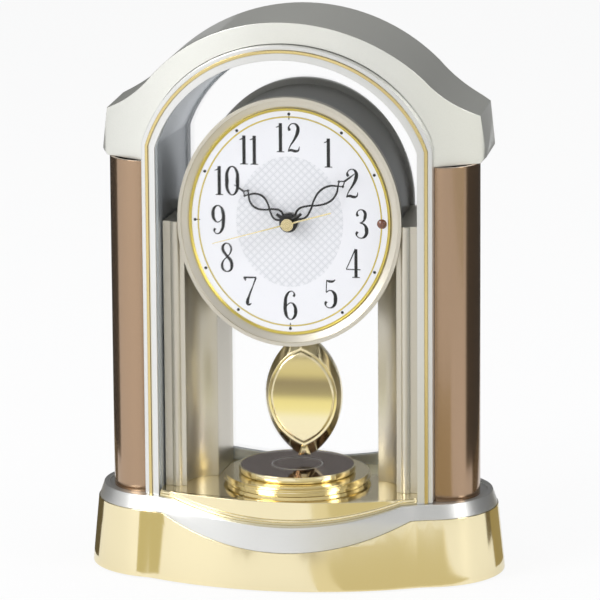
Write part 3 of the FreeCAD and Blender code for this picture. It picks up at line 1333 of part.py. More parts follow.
def make_drive_coil():
    front = COVER_BACK_Y
    back = S.pendulum_y - S.rod_thickness * HALF - S.magnet_thickness - S.drive_coil_gap
    coil = rod_y(S.drive_coil_radius, front, back, 0.0, S.magnet_z)
    wall = S.movement_wall
    groove = rod_y(S.drive_coil_radius + OVERRUN, front + wall, back - wall, 0.0, S.magnet_z)
    core = rod_y(S.drive_coil_radius - S.movement_wall, front, back, 0.0, S.magnet_z)
    coil = coil.cut(groove.cut(core))
    return coil.cut(rod_y(S.drive_core_radius, back - S.movement_wall, back + OVERRUN, 0.0, S.magnet_z))


# Power: cells, tray, contacts, back cover, door and buttons


def cell_places():
    """X of each cell's axis."""
    return (S.cell_first_x, S.cell_first_x + S.cell_pitch)


def make_battery_cells():
    cells = []
    half = S.cell_length * HALF
    nub = S.cell_radius * HALF * HALF
    for turn, x in zip((1, -1), cell_places()):
        base = V(x, S.cell_y, S.dial_z - turn * half)
        can = Part.makeCylinder(S.cell_radius, S.cell_length - nub, base, V(0, 0, turn))
        cap_at = V(x, S.cell_y, S.dial_z + turn * (half - nub))
        cap = Part.makeCylinder(nub + nub * HALF, nub, cap_at, V(0, 0, turn))
        cells.append(can.fuse(cap).removeSplitter())
    return Part.makeCompound(cells)


def make_battery_tray():
    wall = S.tray_wall
    z0, z1 = S.dial_z - S.tray_half_height, S.dial_z + S.tray_half_height
    tray = box(S.tray_left_x, S.tray_right_x, S.tray_front, S.case_back - S.fit_gap, z0, z1)
    room = box(S.tray_left_x + wall, S.tray_right_x - wall, S.tray_front + wall, BIG, z0 + wall, z1 - wall)
    tray = tray.cut(room)
    for x in cell_places():
        cradle = rod_z(S.cell_radius + S.screw_play, x, S.cell_y, z0 + wall, z1 - wall)
        saddle = box(x - S.cell_radius, x + S.cell_radius, S.tray_front + wall,
                     S.cell_y - S.cell_radius * HALF, S.dial_z - wall, S.dial_z + wall)
        tray = tray.fuse(saddle.cut(cradle))
    return tray.removeSplitter()


def rod_z(radius, x, y, z0, z1):
    """Upright round rod."""
    return Part.makeCylinder(radius, z1 - z0, V(x, y, z0))


def make_battery_contacts():
    contacts = []
    half = S.contact_width * HALF
    for end in (-1, 1):
        inner = S.dial_z + end * (S.tray_half_height - S.tray_wall)
        outer = inner - end * S.contact_thickness
        for x in cell_places():
            low, high = min(inner, outer), max(inner, outer)
            plate = box(x - half, x + half, S.cell_y - half, S.cell_y + half, low, high)
            stud_end = S.dial_z + end * (S.cell_length * HALF + S.screw_play)
            stud = rod_z(half * HALF, x, S.cell_y, min(stud_end, outer), max(stud_end, outer))
            contacts.append(plate.fuse(stud).removeSplitter())
    return Part.makeCompound(contacts)


def hinge_y():
    """Depth of the door's hinge axis."""
    return S.case_back + S.rear_cover_thickness + S.door_lift


def make_rear_cover():
    y0 = S.case_back
    y1 = y0 + S.rear_cover_thickness
    cover = oval_prism(S.rear_cover_half_width, S.rear_cover_half_height, y0, y1)
    opening = box(S.door_left_x, S.door_right_x, y0 - OVERRUN, y1 + OVERRUN,
                  S.door_hinge_z - S.notch_depth, S.door_top)
    cover = cover.cut(opening)
    left = ear(S.door_left_x, S.knuckle_left_x - S.door_gap)
    right = ear(S.knuckle_right_x + S.door_gap, S.door_right_x)
    cover = cover.fuse([left, right])
    for z in button_heights():
        cover = cover.cut(rod_y(S.button_radius + S.running_play, y0 - OVERRUN, y1 + OVERRUN, S.button_x, z))
    for x, z in housing_spots():
        cover = cover.cut(rod_y(S.housing_screw_radius + S.screw_play, y0 - OVERRUN, y1 + OVERRUN, x, z))
    reach = S.board_half_height - S.board_post_radius
    for z in (S.dial_z - reach, S.dial_z + reach):
        x = S.board_left_x + S.board_post_radius
        cover = cover.fuse(rod_y(S.board_post_radius, S.case_back - S.board_gap, y0, x, z))
    return cover.removeSplitter()


def ear(x0, x1):
    """Hinge ear of the back cover, bored for the pin."""
    y, z = hinge_y(), S.door_hinge_z
    r = S.knuckle_radius
    barrel = rod_x(r, x0, x1, y, z)
    web = box(x0, x1, S.case_back, S.case_back + S.rear_cover_thickness, z - S.notch_depth, z)
    return barrel.fuse(web).cut(rod_x(S.door_pin_radius + S.running_play, x0 - OVERRUN, x1 + OVERRUN, y, z))


def make_battery_door():
    y, z = hinge_y(), S.door_hinge_z
    gap = S.door_gap
    y0 = y - S.door_thickness
    start = z + S.notch_depth
    plate = box(S.door_left_x + gap, S.door_right_x - gap, y0, y, start, S.door_top - gap)
    tab = box(S.knuckle_left_x, S.knuckle_right_x, y0, y, z, start)
    knuckle = rod_x(S.knuckle_radius, S.knuckle_left_x, S.knuckle_right_x, y, z)
    door = plate.fuse([tab, knuckle])
    bore = rod_x(S.door_pin_radius + S.running_play, 0.0, BIG, y, z)
    return door.cut(bore).removeSplitter()


def make_door_pin():
    inset = S.door_gap
    return rod_x(S.door_pin_radius, S.door_left_x + inset, S.door_right_x - inset, hinge_y(), S.door_hinge_z)


def button_heights():
    """Heights of the three buttons."""
    return [S.dial_z + step * S.button_pitch for step in (1, 0, -1)]


def make_button(z):
    flange_y1 = S.case_back - S.fit_gap
    flange_y0 = flange_y1 - S.button_flange_thickness
    end = S.case_back + S.rear_cover_thickness + S.button_proud
    stem = rod_y(S.button_radius, S.case_back - S.button_inner_length, end, S.button_x, z)
    flange = rod_y(S.button_flange_radius, flange_y0, flange_y1, S.button_x, z)
    return stem.fuse(flange).removeSplitter()


def make_circuit_board():
    y1 = S.case_back - S.board_gap
    y0 = y1 - S.board_thickness
    low, high = S.dial_z - S.board_half_height, S.dial_z + S.board_half_height
    board = box(S.board_left_x, S.board_right_x, y0, y1, low, high)
    chip_x = (S.board_left_x + S.board_right_x) * HALF
    half = S.board_post_radius + S.board_post_radius
    chip = box(chip_x - half, chip_x + half, y0 - S.board_thickness, y0, S.dial_z - half, S.dial_z + half)
    return board.fuse(chip).removeSplitter()


def make_housing_screws():
    screws = []
    end = S.case_back + S.rear_cover_thickness + S.housing_screw_head
    for x, z in housing_spots():
        screws.append(screw(x, end, z, S.housing_screw_head_radius, S.housing_screw_head,
                            S.housing_screw_radius, S.housing_screw_length, V(0, -1, 0)))
    return Part.makeCompound(screws)


# Assembly


def build():
    deck = make_base_deck()
    solid_node("base_skirt", make_base_skirt())
    solid_node("base_rim", make_base_rim(deck))
    solid_node("base_deck", deck)
    solid_node("bottom_cover", make_bottom_cover())
    make_base_feet()
    make_base_weight()
    solid_node("base_screws", make_base_screws())
    column = make_column()
    solid_node("column_right", column)
    solid_node("column_left", mirrored(column))
    solid_node("hood", make_hood())
    solid_node("bezel_frame", make_bezel_frame())
    solid_node("bezel_bead", make_bezel_bead())
    solid_node("front_pane", make_front_pane())
    solid_node("case_liner", make_case_liner(deck))
    solid_node("rear_frame", make_rear_frame())
    solid_node("rear_window", make_rear_window())
    solid_node("dial_frame", make_dial_frame())
    solid_node("dial_housing", make_dial_housing())
    solid_node("dial_ring", make_dial_ring())
    solid_node("dial_plate", make_dial_plate())
    solid_node("sensor_lens", make_sensor_lens())
    solid_node("dial_nut", make_dial_nut())
    make_pedestal()
    solid_node("movement_case", make_movement_case())
    solid_node("movement_cover", make_movement_cover())
    solid_node("movement_plate", make_movement_plate())
    solid_node("circuit_board", make_circuit_board())
    solid_node("stepper_coil", make_stepper_coil())
    solid_node("stator_plate", make_stator_plate())
    solid_node("rotor", make_rotor())
    solid_node("fifth_wheel", make_fifth_wheel())
    solid_node("second_wheel", make_second_wheel())
    solid_node("third_wheel", make_third_wheel())
    solid_node("centre_wheel", make_centre_wheel())
    solid_node("minute_wheel", make_minute_wheel())
    solid_node("hour_wheel", make_hour_wheel())
    solid_node("hour_hand", make_hour_hand())
    solid_node("minute_hand", make_minute_hand())
    solid_node("second_hand", make_second_hand())
    solid_node("pendulum_bob", swung(make_pendulum_bob()))
    solid_node("bob_face", swung(make_bob_face()))
    solid_node("bob_tip", swung(tip_block(S.screw_play)))
    solid_node("bob_hanger", swung(make_bob_hanger()))
    solid_node("pendulum_rod", swung(make_pendulum_rod()))
    solid_node("pendulum_magnet", swung(make_pendulum_magnet()))
    solid_node("pendulum_pivot", make_pendulum_pivot())
    solid_node("drive_coil", make_drive_coil())
    solid_node("battery_cells", make_battery_cells())
    solid_node("battery_tray", make_battery_tray())
    solid_node("battery_contacts", make_battery_contacts())
    solid_node("rear_cover", make_rear_cover())
    solid_node("battery_door", make_battery_door())
    solid_node("door_pin", make_door_pin())
    for name, z in zip(("set_button", "receive_button", "reset_button"), button_heights()):
        solid_node(name, make_button(z))
    solid_node("housing_screws", make_housing_screws())


def check_and_write():
    """Stops on any failed object or shape, then writes each sub-part's file."""
    doc.recompute()
    for obj in doc.Objects:
        bad = [word for word in obj.State if word in ("Invalid", "Error")]
        if bad:
            raise RuntimeError("%s is %s" % (obj.Label, bad))
    for obj in NODES:
        shape = obj.Shape
        if shape.isNull() or not shape.isValid() or not shape.Solids:
            raise RuntimeError("%s has no valid solid" % obj.Label)
    os.makedirs("parts", exist_ok=True)
    for obj in NODES:
        obj.Shape.exportStep("parts/%s.step" % obj.Label)
        box_ = obj.Shape.BoundBox
        print("%-18s solids %2d volume %10.1f  x %.1f %.1f  y %.1f %.1f  z %.1f %.1f" % (
            obj.Label, len(obj.Shape.Solids), obj.Shape.Volume, box_.XMin, box_.XMax,
            box_.YMin, box_.YMax, box_.ZMin, box_.ZMax))


build()
check_and_write()
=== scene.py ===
import json
import math

import bpy
from bpy.props import FloatProperty, FloatVectorProperty, IntProperty, PointerProperty
from mathutils import Matrix, Vector


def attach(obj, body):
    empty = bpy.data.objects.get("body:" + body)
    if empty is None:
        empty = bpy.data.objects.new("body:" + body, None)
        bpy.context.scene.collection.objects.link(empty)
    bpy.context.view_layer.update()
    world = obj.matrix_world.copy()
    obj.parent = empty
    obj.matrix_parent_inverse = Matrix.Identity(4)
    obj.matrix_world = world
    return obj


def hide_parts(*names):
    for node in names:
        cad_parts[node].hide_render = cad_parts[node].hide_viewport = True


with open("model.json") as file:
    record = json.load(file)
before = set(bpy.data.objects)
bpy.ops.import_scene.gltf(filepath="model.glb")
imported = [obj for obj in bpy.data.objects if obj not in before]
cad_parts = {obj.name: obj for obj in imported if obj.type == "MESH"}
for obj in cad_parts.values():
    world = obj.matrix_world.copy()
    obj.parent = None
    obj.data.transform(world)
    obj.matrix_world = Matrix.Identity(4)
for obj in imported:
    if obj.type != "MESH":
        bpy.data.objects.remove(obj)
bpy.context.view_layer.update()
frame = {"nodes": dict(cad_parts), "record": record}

bl_info = {
    "name": "Desk pendulum clock",
    "version": (1, 0, 0),
    "blender": (4, 5, 0),
    "location": "3D View > Sidebar > Clock",
    "description": "Dresses the parts of a desk pendulum clock and sets up its studio",
    "category": "Object",
}

NODE_SLOTS = {row["node"]: row["material_slot"] for row in frame["record"]["subparts"]}
MM = 0.001
QUARTER = math.pi / 2
DIAL_CENTRE = Vector((0.0, -0.013, 0.1918))
WHITE = (1.0, 1.0, 1.0, 1.0)


def slot_colour(slot):
    """The base colour that the record gives a material slot."""
    for row in frame["record"]["materials"]:
        if row["slot"] == slot:
            return tuple(row["base_color"])
    raise RuntimeError("no such material slot: " + slot)


# ---------------------------------------------------------------- settings

def colour_setting(title, default, about):
    """A colour setting with its default."""
    return FloatVectorProperty(name=title, description=about, default=default,
                               size=3, min=0.0, max=1.0, subtype="COLOR")


class ClockColours(bpy.types.PropertyGroup):
    """Colours that a user may change before the finishes are made."""

    gold: colour_setting("Gold", (0.93, 0.82, 0.53), "Colour of the gold plating")
    silver: colour_setting("Silver", (0.78, 0.78, 0.76), "Colour of the satin silver mouldings")
    pearl: colour_setting("Pearl", (0.84, 0.84, 0.78), "Colour of the hood")
    bronze: colour_setting("Bronze", (0.42, 0.280, 0.175), "Colour of the side columns")
    champagne: colour_setting("Champagne", (0.66, 0.62, 0.53), "Colour of the dial frame and pillars")
    barrel: colour_setting("Barrel grey", (0.36, 0.355, 0.33), "Colour of the barrel behind the dial")
    liner: colour_setting("Liner", (0.62, 0.66, 0.70), "Colour of the case's inner wall")
    dial: colour_setting("Dial", (0.88, 0.88, 0.91), "Colour of the dial plate")
    black: colour_setting("Hands and numerals", (0.012, 0.012, 0.012), "Colour of the hands and numerals")
    lens: colour_setting("Sensor lens", (0.16, 0.05, 0.02), "Colour of the light sensor's lens")
    mirror: colour_setting("Mirror", (0.19, 0.13, 0.10), "Colour of the pedestal's mirror")


class ClockSizes(bpy.types.PropertyGroup):
    """Sizes that a user may change before the pieces are made."""

    edge_round: FloatProperty(name="Edge round", description="Width of the small rounds on moulded edges",
                              default=0.0003, min=0.00005, max=0.001, unit="LENGTH")
    numeral_height: FloatProperty(name="Numeral height", description="Height of the dial numerals",
                                  default=0.0157, min=0.008, max=0.02, unit="LENGTH")
    print_height: FloatProperty(name="Print height", description="How far the numerals stand off the dial",
                                default=0.00006, min=0.00002, max=0.0003, unit="LENGTH")
    dot_radius: FloatProperty(name="Mark radius", description="Radius of a mark between the hours",
                              default=0.00048, min=0.0001, max=0.001, unit="LENGTH")
    line_width: FloatProperty(name="Gold line", description="Width of the thin gold line round the dial",
                               default=0.0008, min=0.0002, max=0.0015, unit="LENGTH")
    hand_thickness: FloatProperty(name="Hand thickness", description="Thickness of the hour and minute hands",
                                  default=0.0005, min=0.0002, max=0.001, unit="LENGTH")
    mark_count: IntProperty(name="Marks", description="How many marks stand round the dial",
                            default=12, min=12, max=60)
    camera_distance: FloatProperty(name="Camera distance", description="From the camera to the clock",
                                   default=2.659, min=1.0, max=6.0, unit="LENGTH")
    camera_turn: FloatProperty(name="Camera turn", description="How far the camera stands to the right",
                               default=math.radians(9.09), unit="ROTATION")
    camera_rise: FloatProperty(name="Camera rise", description="How far the camera stands above the level",
                               default=math.radians(12.61), unit="ROTATION")
    camera_roll: FloatProperty(name="Camera roll", description="How far the camera is turned about its view",
                               default=math.radians(-0.39), unit="ROTATION")


# ---------------------------------------------------------------- modelling helpers

def clear_selection():
    """Leaves edit mode and deselects every object."""
    if bpy.context.object is not None and bpy.context.object.mode != "OBJECT":
        bpy.ops.object.mode_set(mode="OBJECT")
    bpy.ops.object.select_all(action="DESELECT")


def pick(piece):
    """Makes one object the only selected one."""
    clear_selection()
    piece.select_set(True)
    bpy.context.view_layer.objects.active = piece


def apply_place(piece):
    """Puts an object's place, turn and scale into its mesh."""
    pick(piece)
    bpy.ops.object.transform_apply(location=True, rotation=True, scale=True)


def apply_modifier(piece, kind, **values):
    """Adds a modifier, sets its values and applies it."""
    pick(piece)
    modifier = piece.modifiers.new(kind.lower(), kind)
    for name, value in values.items():
        setattr(modifier, name, value)
    bpy.ops.object.modifier_apply(modifier=modifier.name)


def smooth(piece, angle):
    """Smooth shading that keeps edges sharper than the angle."""
    pick(piece)
    bpy.ops.object.shade_smooth_by_angle(angle=math.radians(angle))


def mend_mesh(piece):
    """Merges doubles and turns all faces outwards."""
    pick(piece)
    bpy.ops.object.mode_set(mode="EDIT")
    bpy.ops.mesh.select_all(action="SELECT")
    bpy.ops.mesh.remove_doubles(threshold=0.000002)
    bpy.ops.mesh.normals_make_consistent(inside=False)
    bpy.ops.object.mode_set(mode="OBJECT")


def join(pieces, name):
    """Joins pieces into the first one and names it."""
    pick(pieces[0])
    for piece in pieces:
        piece.select_set(True)
    bpy.ops.object.join()
    pieces[0].name = name
    pieces[0].data.name = name
    return pieces[0]


def settle(piece, body, slot, *nodes):
    """Gives a piece its finish, its body and the nodes that it stands for."""
    piece.data.materials.clear()
    piece.data.materials.append(bpy.data.materials[slot + "_finish"])
    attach(piece, body)
    if nodes:
        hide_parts(*nodes)


def change_finish(piece, finish):
    """Gives a piece a shade of its slot's finish."""
    piece.data.materials.clear()
    piece.data.materials.append(bpy.data.materials[finish + "_finish"])


def rounded_copy(node, name, width):
    """A merged copy of a node's mesh with its sharp edges rounded."""
    mesh = frame["nodes"][node].data.copy()
    piece = bpy.data.objects.new(name, mesh)
    mesh.name = name
    bpy.context.scene.collection.objects.link(piece)
    pick(piece)
    bpy.ops.mesh.customdata_custom_splitnormals_clear()
    bpy.ops.object.mode_set(mode="EDIT")
    bpy.ops.mesh.select_all(action="SELECT")
    bpy.ops.mesh.remove_doubles(threshold=0.000001)
    bpy.ops.mesh.dissolve_limited(angle_limit=math.radians(0.2))
    bpy.ops.object.mode_set(mode="OBJECT")
    apply_modifier(piece, "BEVEL", width=width, segments=2, limit_method="ANGLE",
                   angle_limit=math.radians(30.0), use_clamp_overlap=False, miter_outer="MITER_ARC")
    smooth(piece, 34.0)
    apply_modifier(piece, "WEIGHTED_NORMAL", keep_sharp=True, weight=60)
    return piece


def draw_strokes(name, strokes, flatness):
    """Strokes of varying width in the plane y = 0, flattened to a thin print.

    A stroke is a list of points (x, z, half width) in metres, and True where it closes.
    """
    curve = bpy.data.curves.new(name, "CURVE")
    curve.dimensions = "3D"
    curve.resolution_u = 6
    curve.bevel_depth = MM
    curve.bevel_resolution = 2
    curve.use_fill_caps = True
    for points, closed in strokes:
        spline = curve.splines.new("BEZIER")
        spline.bezier_points.add(len(points) - 1)
        for point, (x, z, half) in zip(spline.bezier_points, points):
            point.co = (x, 0.0, z)
            point.handle_left_type = "AUTO"
            point.handle_right_type = "AUTO"
            point.radius = half / MM
        spline.use_cyclic_u = closed
    piece = bpy.data.objects.new(name, curve)
    bpy.context.scene.collection.objects.link(piece)
    pick(piece)
    bpy.ops.object.convert(target="MESH")
    piece = bpy.context.object
    piece.scale = (1.0, flatness, 1.0)
    apply_place(piece)
    mend_mesh(piece)
    return piece


def move_mesh(piece, offset):
    """Moves a piece's mesh and keeps its object at the origin."""
    piece.location = offset
    apply_place(piece)


# ---------------------------------------------------------------- shader groups

def add_node(tree, kind, x, y, inputs=None, **values):
    """Adds a node at a place in the tree; its inputs are given as sockets to link or as values."""
    node = tree.nodes.new(kind)
    node.location = (x, y)
    for name, value in values.items():
        setattr(node, name, value)
    for title, value in (inputs or {}).items():
        if isinstance(value, bpy.types.NodeSocket):
            tree.links.new(value, node.inputs[title])
        else:
            node.inputs[title].default_value = value
    return node


def math_node(tree, operation, x, y, *terms, clamp=False):
    """The result of a math node whose terms are sockets or numbers."""
    node = add_node(tree, "ShaderNodeMath", x, y, dict(enumerate(terms)),
                    operation=operation, use_clamp=clamp)
    return node.outputs[0]


def map_range(tree, value, before, after, x, y, interpolation="LINEAR"):
    """The result of a node that maps one range of a value to another."""
    node = add_node(tree, "ShaderNodeMapRange", x, y, {
        "Value": value, "From Min": before[0], "From Max": before[1], "To Min": after[0], "To Max": after[1],
    }, interpolation_type=interpolation)
    return node.outputs["Result"]


def mix_shaders(tree, share, first, second, x, y):
    """Mixes two shader nodes; a share of 1 is all the second."""
    return add_node(tree, "ShaderNodeMixShader", x, y, {0: share, 1: first.outputs[0], 2: second.outputs[0]})


def fill_ramp(ramp, stops):
    """Gives a colour ramp its stops: place and colour."""
    elements = ramp.color_ramp.elements
    for element, (place, colour) in zip(elements, (stops[0], stops[-1])):
        element.position = place
        element.color = (*colour, 1.0)
    for place, colour in stops[1:-1]:
        elements.new(place).color = (*colour, 1.0)


def new_group(name, inputs, outputs):
    """A shader node group with named sockets."""
    group = bpy.data.node_groups.new(name, "ShaderNodeTree")
    for title, kind, default in inputs:
        socket = group.interface.new_socket(title, in_out="INPUT", socket_type=kind)
        if default is not None:
            socket.default_value = default
    for title, kind in outputs:
        group.interface.new_socket(title, in_out="OUTPUT", socket_type=kind)
    start = add_node(group, "NodeGroupInput", -800, 0)
    end = add_node(group, "NodeGroupOutput", 700, 0)
    return group, start, end


def make_tone_group():
    """Soft drift of colour and roughness over a surface, as plating and paint have."""
    group, start, end = new_group(
        "soft tone",
        [("Vector", "NodeSocketVector", None), ("Colour", "NodeSocketColor", (0.8, 0.8, 0.8, 1.0)),
         ("Drift", "NodeSocketFloat", 0.1), ("Scale", "NodeSocketFloat", 20.0),
         ("Roughness", "NodeSocketFloat", 0.3), ("Spread", "NodeSocketFloat", 0.1)],
        [("Colour", "NodeSocketColor"), ("Roughness", "NodeSocketFloat")])
    noise = add_node(group, "ShaderNodeTexNoise", -560, 120, {
        "Detail": 4.0, "Vector": start.outputs["Vector"], "Scale": start.outputs["Scale"]})
    centred = math_node(group, "SUBTRACT", -360, 120, noise.outputs["Fac"], 0.5)
    drift = math_node(group, "MULTIPLY", -180, 160, centred, start.outputs["Drift"])
    factor = math_node(group, "ADD", 0, 160, drift, 1.0)
    scaled = add_node(group, "ShaderNodeVectorMath", 200, 160,
                      {0: start.outputs["Colour"], "Scale": factor}, operation="SCALE")
    spread = math_node(group, "MULTIPLY", -180, -60, centred, start.outputs["Spread"])
    rough = math_node(group, "ADD", 0, -60, spread, start.outputs["Roughness"])
    group.links.new(scaled.outputs[0], end.inputs["Colour"])
    group.links.new(rough, end.inputs["Roughness"])


def make_grain_group():
    """Fine grain: flakes of metallic paint, moulded texture or brushed lines."""
    group, start, end = new_group(
        "fine grain",
        [("Vector", "NodeSocketVector", None), ("Scale", "NodeSocketFloat", 1500.0),
         ("Stretch", "NodeSocketVector", (1.0, 1.0, 1.0))],
        [("Height", "NodeSocketFloat"), ("Fleck", "NodeSocketFloat")])
    stretch = add_node(group, "ShaderNodeVectorMath", -560, 60,
                       {0: start.outputs["Vector"], 1: start.outputs["Stretch"]}, operation="MULTIPLY")
    place = {"Vector": stretch.outputs[0], "Scale": start.outputs["Scale"]}
    noise = add_node(group, "ShaderNodeTexNoise", -340, 120, {"Detail": 3.0, **place})
    cells = add_node(group, "ShaderNodeTexVoronoi", -340, -160, place)
    group.links.new(noise.outputs["Fac"], end.inputs["Height"])
    group.links.new(cells.outputs["Distance"], end.inputs["Fleck"])


# Half widths of the lattice's lines as shares of a cell, and how strong the fine ones are.
BROAD_LINE, FINE_LINE, FINE_STRENGTH = 0.10, 0.05, 0.6


def make_lattice_group():
    """Woven lattice of lozenges inside an oval, printed faintly on the dial."""
    group, start, end = new_group(
        "woven lattice",
        [("Vector", "NodeSocketVector", None), ("Pitch", "NodeSocketFloat", 0.0042),
         ("Half Width", "NodeSocketFloat", 0.0285), ("Half Height", "NodeSocketFloat", 0.0350)],
        [("Mask", "NodeSocketFloat")])
    split = add_node(group, "ShaderNodeSeparateXYZ", -620, 0, {0: start.outputs["Vector"]})
    x, z = split.outputs["X"], split.outputs["Z"]
    broad, fine = [], []
    for row, sign in enumerate((1.0, -1.0)):
        level = 200 - 220 * row
        mixed = math_node(group, "MULTIPLY", -460, level, z, sign)
        slope = math_node(group, "ADD", -320, level, x, mixed)
        cell = math_node(group, "DIVIDE", -180, level, slope, start.outputs["Pitch"])
        wave = math_node(group, "PINGPONG", -40, level, cell, 0.5)
        broad.append(math_node(group, "LESS_THAN", 100, level, wave, BROAD_LINE))
        shifted = math_node(group, "SUBTRACT", -40, level - 100, wave, 0.25)
        halfway = math_node(group, "ABSOLUTE", 60, level - 100, shifted)
        fine.append(math_node(group, "LESS_THAN", 180, level - 100, halfway, FINE_LINE))
    strong = math_node(group, "MAXIMUM", 260, 160, *broad)
    faint = math_node(group, "MULTIPLY", 360, 0, math_node(group, "MAXIMUM", 260, 0, *fine), FINE_STRENGTH)
    pattern = math_node(group, "MAXIMUM", 420, 100, strong, faint)
    squares = []
    for value, half, level in ((x, "Half Width", -420), (z, "Half Height", -560)):
        ratio = math_node(group, "DIVIDE", -320, level, value, start.outputs[half])
        squares.append(math_node(group, "POWER", -180, level, ratio, 2.0))
    reach = math_node(group, "ADD", -40, -480, *squares)
    inside = math_node(group, "LESS_THAN", 100, -480, reach, 1.0)
    group.links.new(math_node(group, "MULTIPLY", 560, 0, pattern, inside), end.inputs["Mask"])


# ---------------------------------------------------------------- finishes

def start_material(slot):
    """A material with its Principled shader and object coordinates."""
    material = bpy.data.materials.new(slot + "_finish")
    material.use_nodes = True
    tree = material.node_tree
    tree.nodes.clear()
    shader = add_node(tree, "ShaderNodeBsdfPrincipled", 300, 0)
    output = add_node(tree, "ShaderNodeOutputMaterial", 640, 0)
    tree.links.new(shader.outputs[0], output.inputs["Surface"])
    place = add_node(tree, "ShaderNodeTexCoord", -700, 0)
    return tree, shader, output, place.outputs["Object"]


def add_group(tree, name, x, y, inputs):
    """Adds one of the shader groups with its inputs."""
    return add_node(tree, "ShaderNodeGroup", x, y, inputs, node_tree=bpy.data.node_groups[name])


def add_tone(tree, shader, vector, colour, **values):
    """Adds the soft tone group and lets it drive the shader's colour and roughness."""
    tone = add_group(tree, "soft tone", -200, 160, {"Vector": vector, "Colour": (*colour, 1.0), **values})
    tree.links.new(tone.outputs["Colour"], shader.inputs["Base Color"])
    tree.links.new(tone.outputs["Roughness"], shader.inputs["Roughness"])
    return tone


RELIEF_DEPTH = 0.05 * MM
COAT_ROUGHNESS = 0.05


def make_finish(slot, colour, metallic, rough, spread, drift, scale, grain, bump, fleck=0.0,
                stretch=(1.0, 1.0, 1.0), coat=0.0):
    """A painted, plated or moulded finish with soft tone and fine grain."""
    tree, shader, _, vector = start_material(slot)
    tone = add_tone(tree, shader, vector, colour, Drift=drift, Scale=scale, Roughness=rough, Spread=spread)
    fine = add_group(tree, "fine grain", -460, -200, {"Vector": vector, "Scale": grain, "Stretch": stretch})
    if fleck > 0:
        flecked = math_node(tree, "MULTIPLY_ADD", -200, 420, fine.outputs["Fleck"], -fleck, 1.0 + fleck * 0.5)
        scaled = add_node(tree, "ShaderNodeVectorMath", 60, 300,
                          {0: tone.outputs["Colour"], "Scale": flecked}, operation="SCALE")
        tree.links.new(scaled.outputs[0], shader.inputs["Base Color"])
    relief = add_node(tree, "ShaderNodeBump", 60, -260, {
        "Strength": bump, "Distance": RELIEF_DEPTH, "Height": fine.outputs["Height"]})
    tree.links.new(relief.outputs[0], shader.inputs["Normal"])
    shader.inputs["Metallic"].default_value = metallic
    shader.inputs["Coat Weight"].default_value = coat
    shader.inputs["Coat Roughness"].default_value = COAT_ROUGHNESS
    return tree, shader, tone, vector


# The pane is thin, so most of it is plain see-through and the rest bends light only a little.
CLEAR_SHARE, PANE_IOR = 0.90, 1.06


def make_clear_finish():
    """Clear acrylic that lets lamp light through and reflects by Fresnel."""
    tree, shader, output, vector = start_material("clear_pane")
    add_tone(tree, shader, vector, (0.985, 0.99, 0.995), Drift=0.01, Roughness=0.012, Spread=0.01)
    shader.inputs["Transmission Weight"].default_value = 1.0
    shader.inputs["IOR"].default_value = PANE_IOR
    clear = add_node(tree, "ShaderNodeBsdfTransparent", 300, -400)
    rays = add_node(tree, "ShaderNodeLightPath", 60, -560).outputs
    direct = math_node(tree, "MAXIMUM", 260, -560, rays["Is Shadow Ray"], rays["Is Diffuse Ray"])
    through = math_node(tree, "MAXIMUM", 400, -560, direct, CLEAR_SHARE)
    blend = mix_shaders(tree, through, shader, clear, 480, -200)
    tree.links.new(blend.outputs[0], output.inputs["Surface"])


LATTICE_COLOUR = (0.70, 0.71, 0.74)


def make_dial_finish(colour):
    """Matt white dial with a faint woven lattice in its middle."""
    tree, shader, tone, vector = make_finish("dial_white", colour, 0.0, 0.5, 0.05, 0.03, 40.0, 3000.0, 0.05)
    centred = add_node(tree, "ShaderNodeMapping", -480, 640, {"Location": -DIAL_CENTRE, "Vector": vector})
    lattice = add_group(tree, "woven lattice", -260, 640, {"Vector": centred.outputs[0]})
    mix = add_node(tree, "ShaderNodeMix", 60, 520, {"Factor": lattice.outputs["Mask"]}, data_type="RGBA")
    tree.links.new(tone.outputs["Colour"], mix.inputs[6])
    mix.inputs[7].default_value = (*LATTICE_COLOUR, 1.0)
    tree.links.new(mix.outputs[2], shader.inputs["Base Color"])


# Slot, colour setting, values and extras of each finish whose colour a user may change. The values are
# metallic, roughness, its spread, colour drift, drift scale, grain scale and bump.
TINTED_FINISHES = (
    ("gold_plate", "gold", (1.0, 0.12, 0.05, 0.06, 14.0, 2200.0, 0.02), {}),
    ("satin_silver", "silver", (0.85, 0.34, 0.08, 0.05, 18.0, 2600.0, 0.06), {"fleck": 0.05}),
    ("pearl_champagne", "pearl", (0.75, 0.33, 0.06, 0.05, 12.0, 3000.0, 0.06), {"fleck": 0.08, "coat": 0.2}),
    ("bronze_gloss", "bronze", (0.92, 0.19, 0.05, 0.06, 12.0, 3000.0, 0.05), {"fleck": 0.12, "coat": 0.5}),
    ("champagne_frame", "champagne", (0.85, 0.33, 0.06, 0.05, 20.0, 2800.0, 0.06), {"fleck": 0.06}),
    ("barrel_grey", "barrel", (0.8, 0.36, 0.06, 0.06, 20.0, 2800.0, 0.08), {"fleck": 0.08}),
    ("liner_silver", "liner", (0.7, 0.32, 0.06, 0.05, 20.0, 2600.0, 0.05), {"fleck": 0.05}),
    ("hand_black", "black", (0.0, 0.3, 0.06, 0.2, 60.0, 3000.0, 0.05), {}),
    ("sensor_brown", "lens", (0.0, 0.08, 0.03, 0.2, 120.0, 900.0, 0.01), {"coat": 1.0}),
    ("mirror_dark", "mirror", (1.0, 0.05, 0.03, 0.08, 40.0, 2000.0, 0.01), {}),
)
# Shades of the gold for single pieces: name, colour and values.
GOLD_SHADES = (
    ("deep_gold", (0.66, 0.53, 0.12), (0.75, 0.3, 0.06, 0.08, 30.0, 2200.0, 0.03)),
    ("bead_gold", (0.72, 0.58, 0.27), (1.0, 0.2, 0.06, 0.08, 30.0, 2200.0, 0.03)),
)
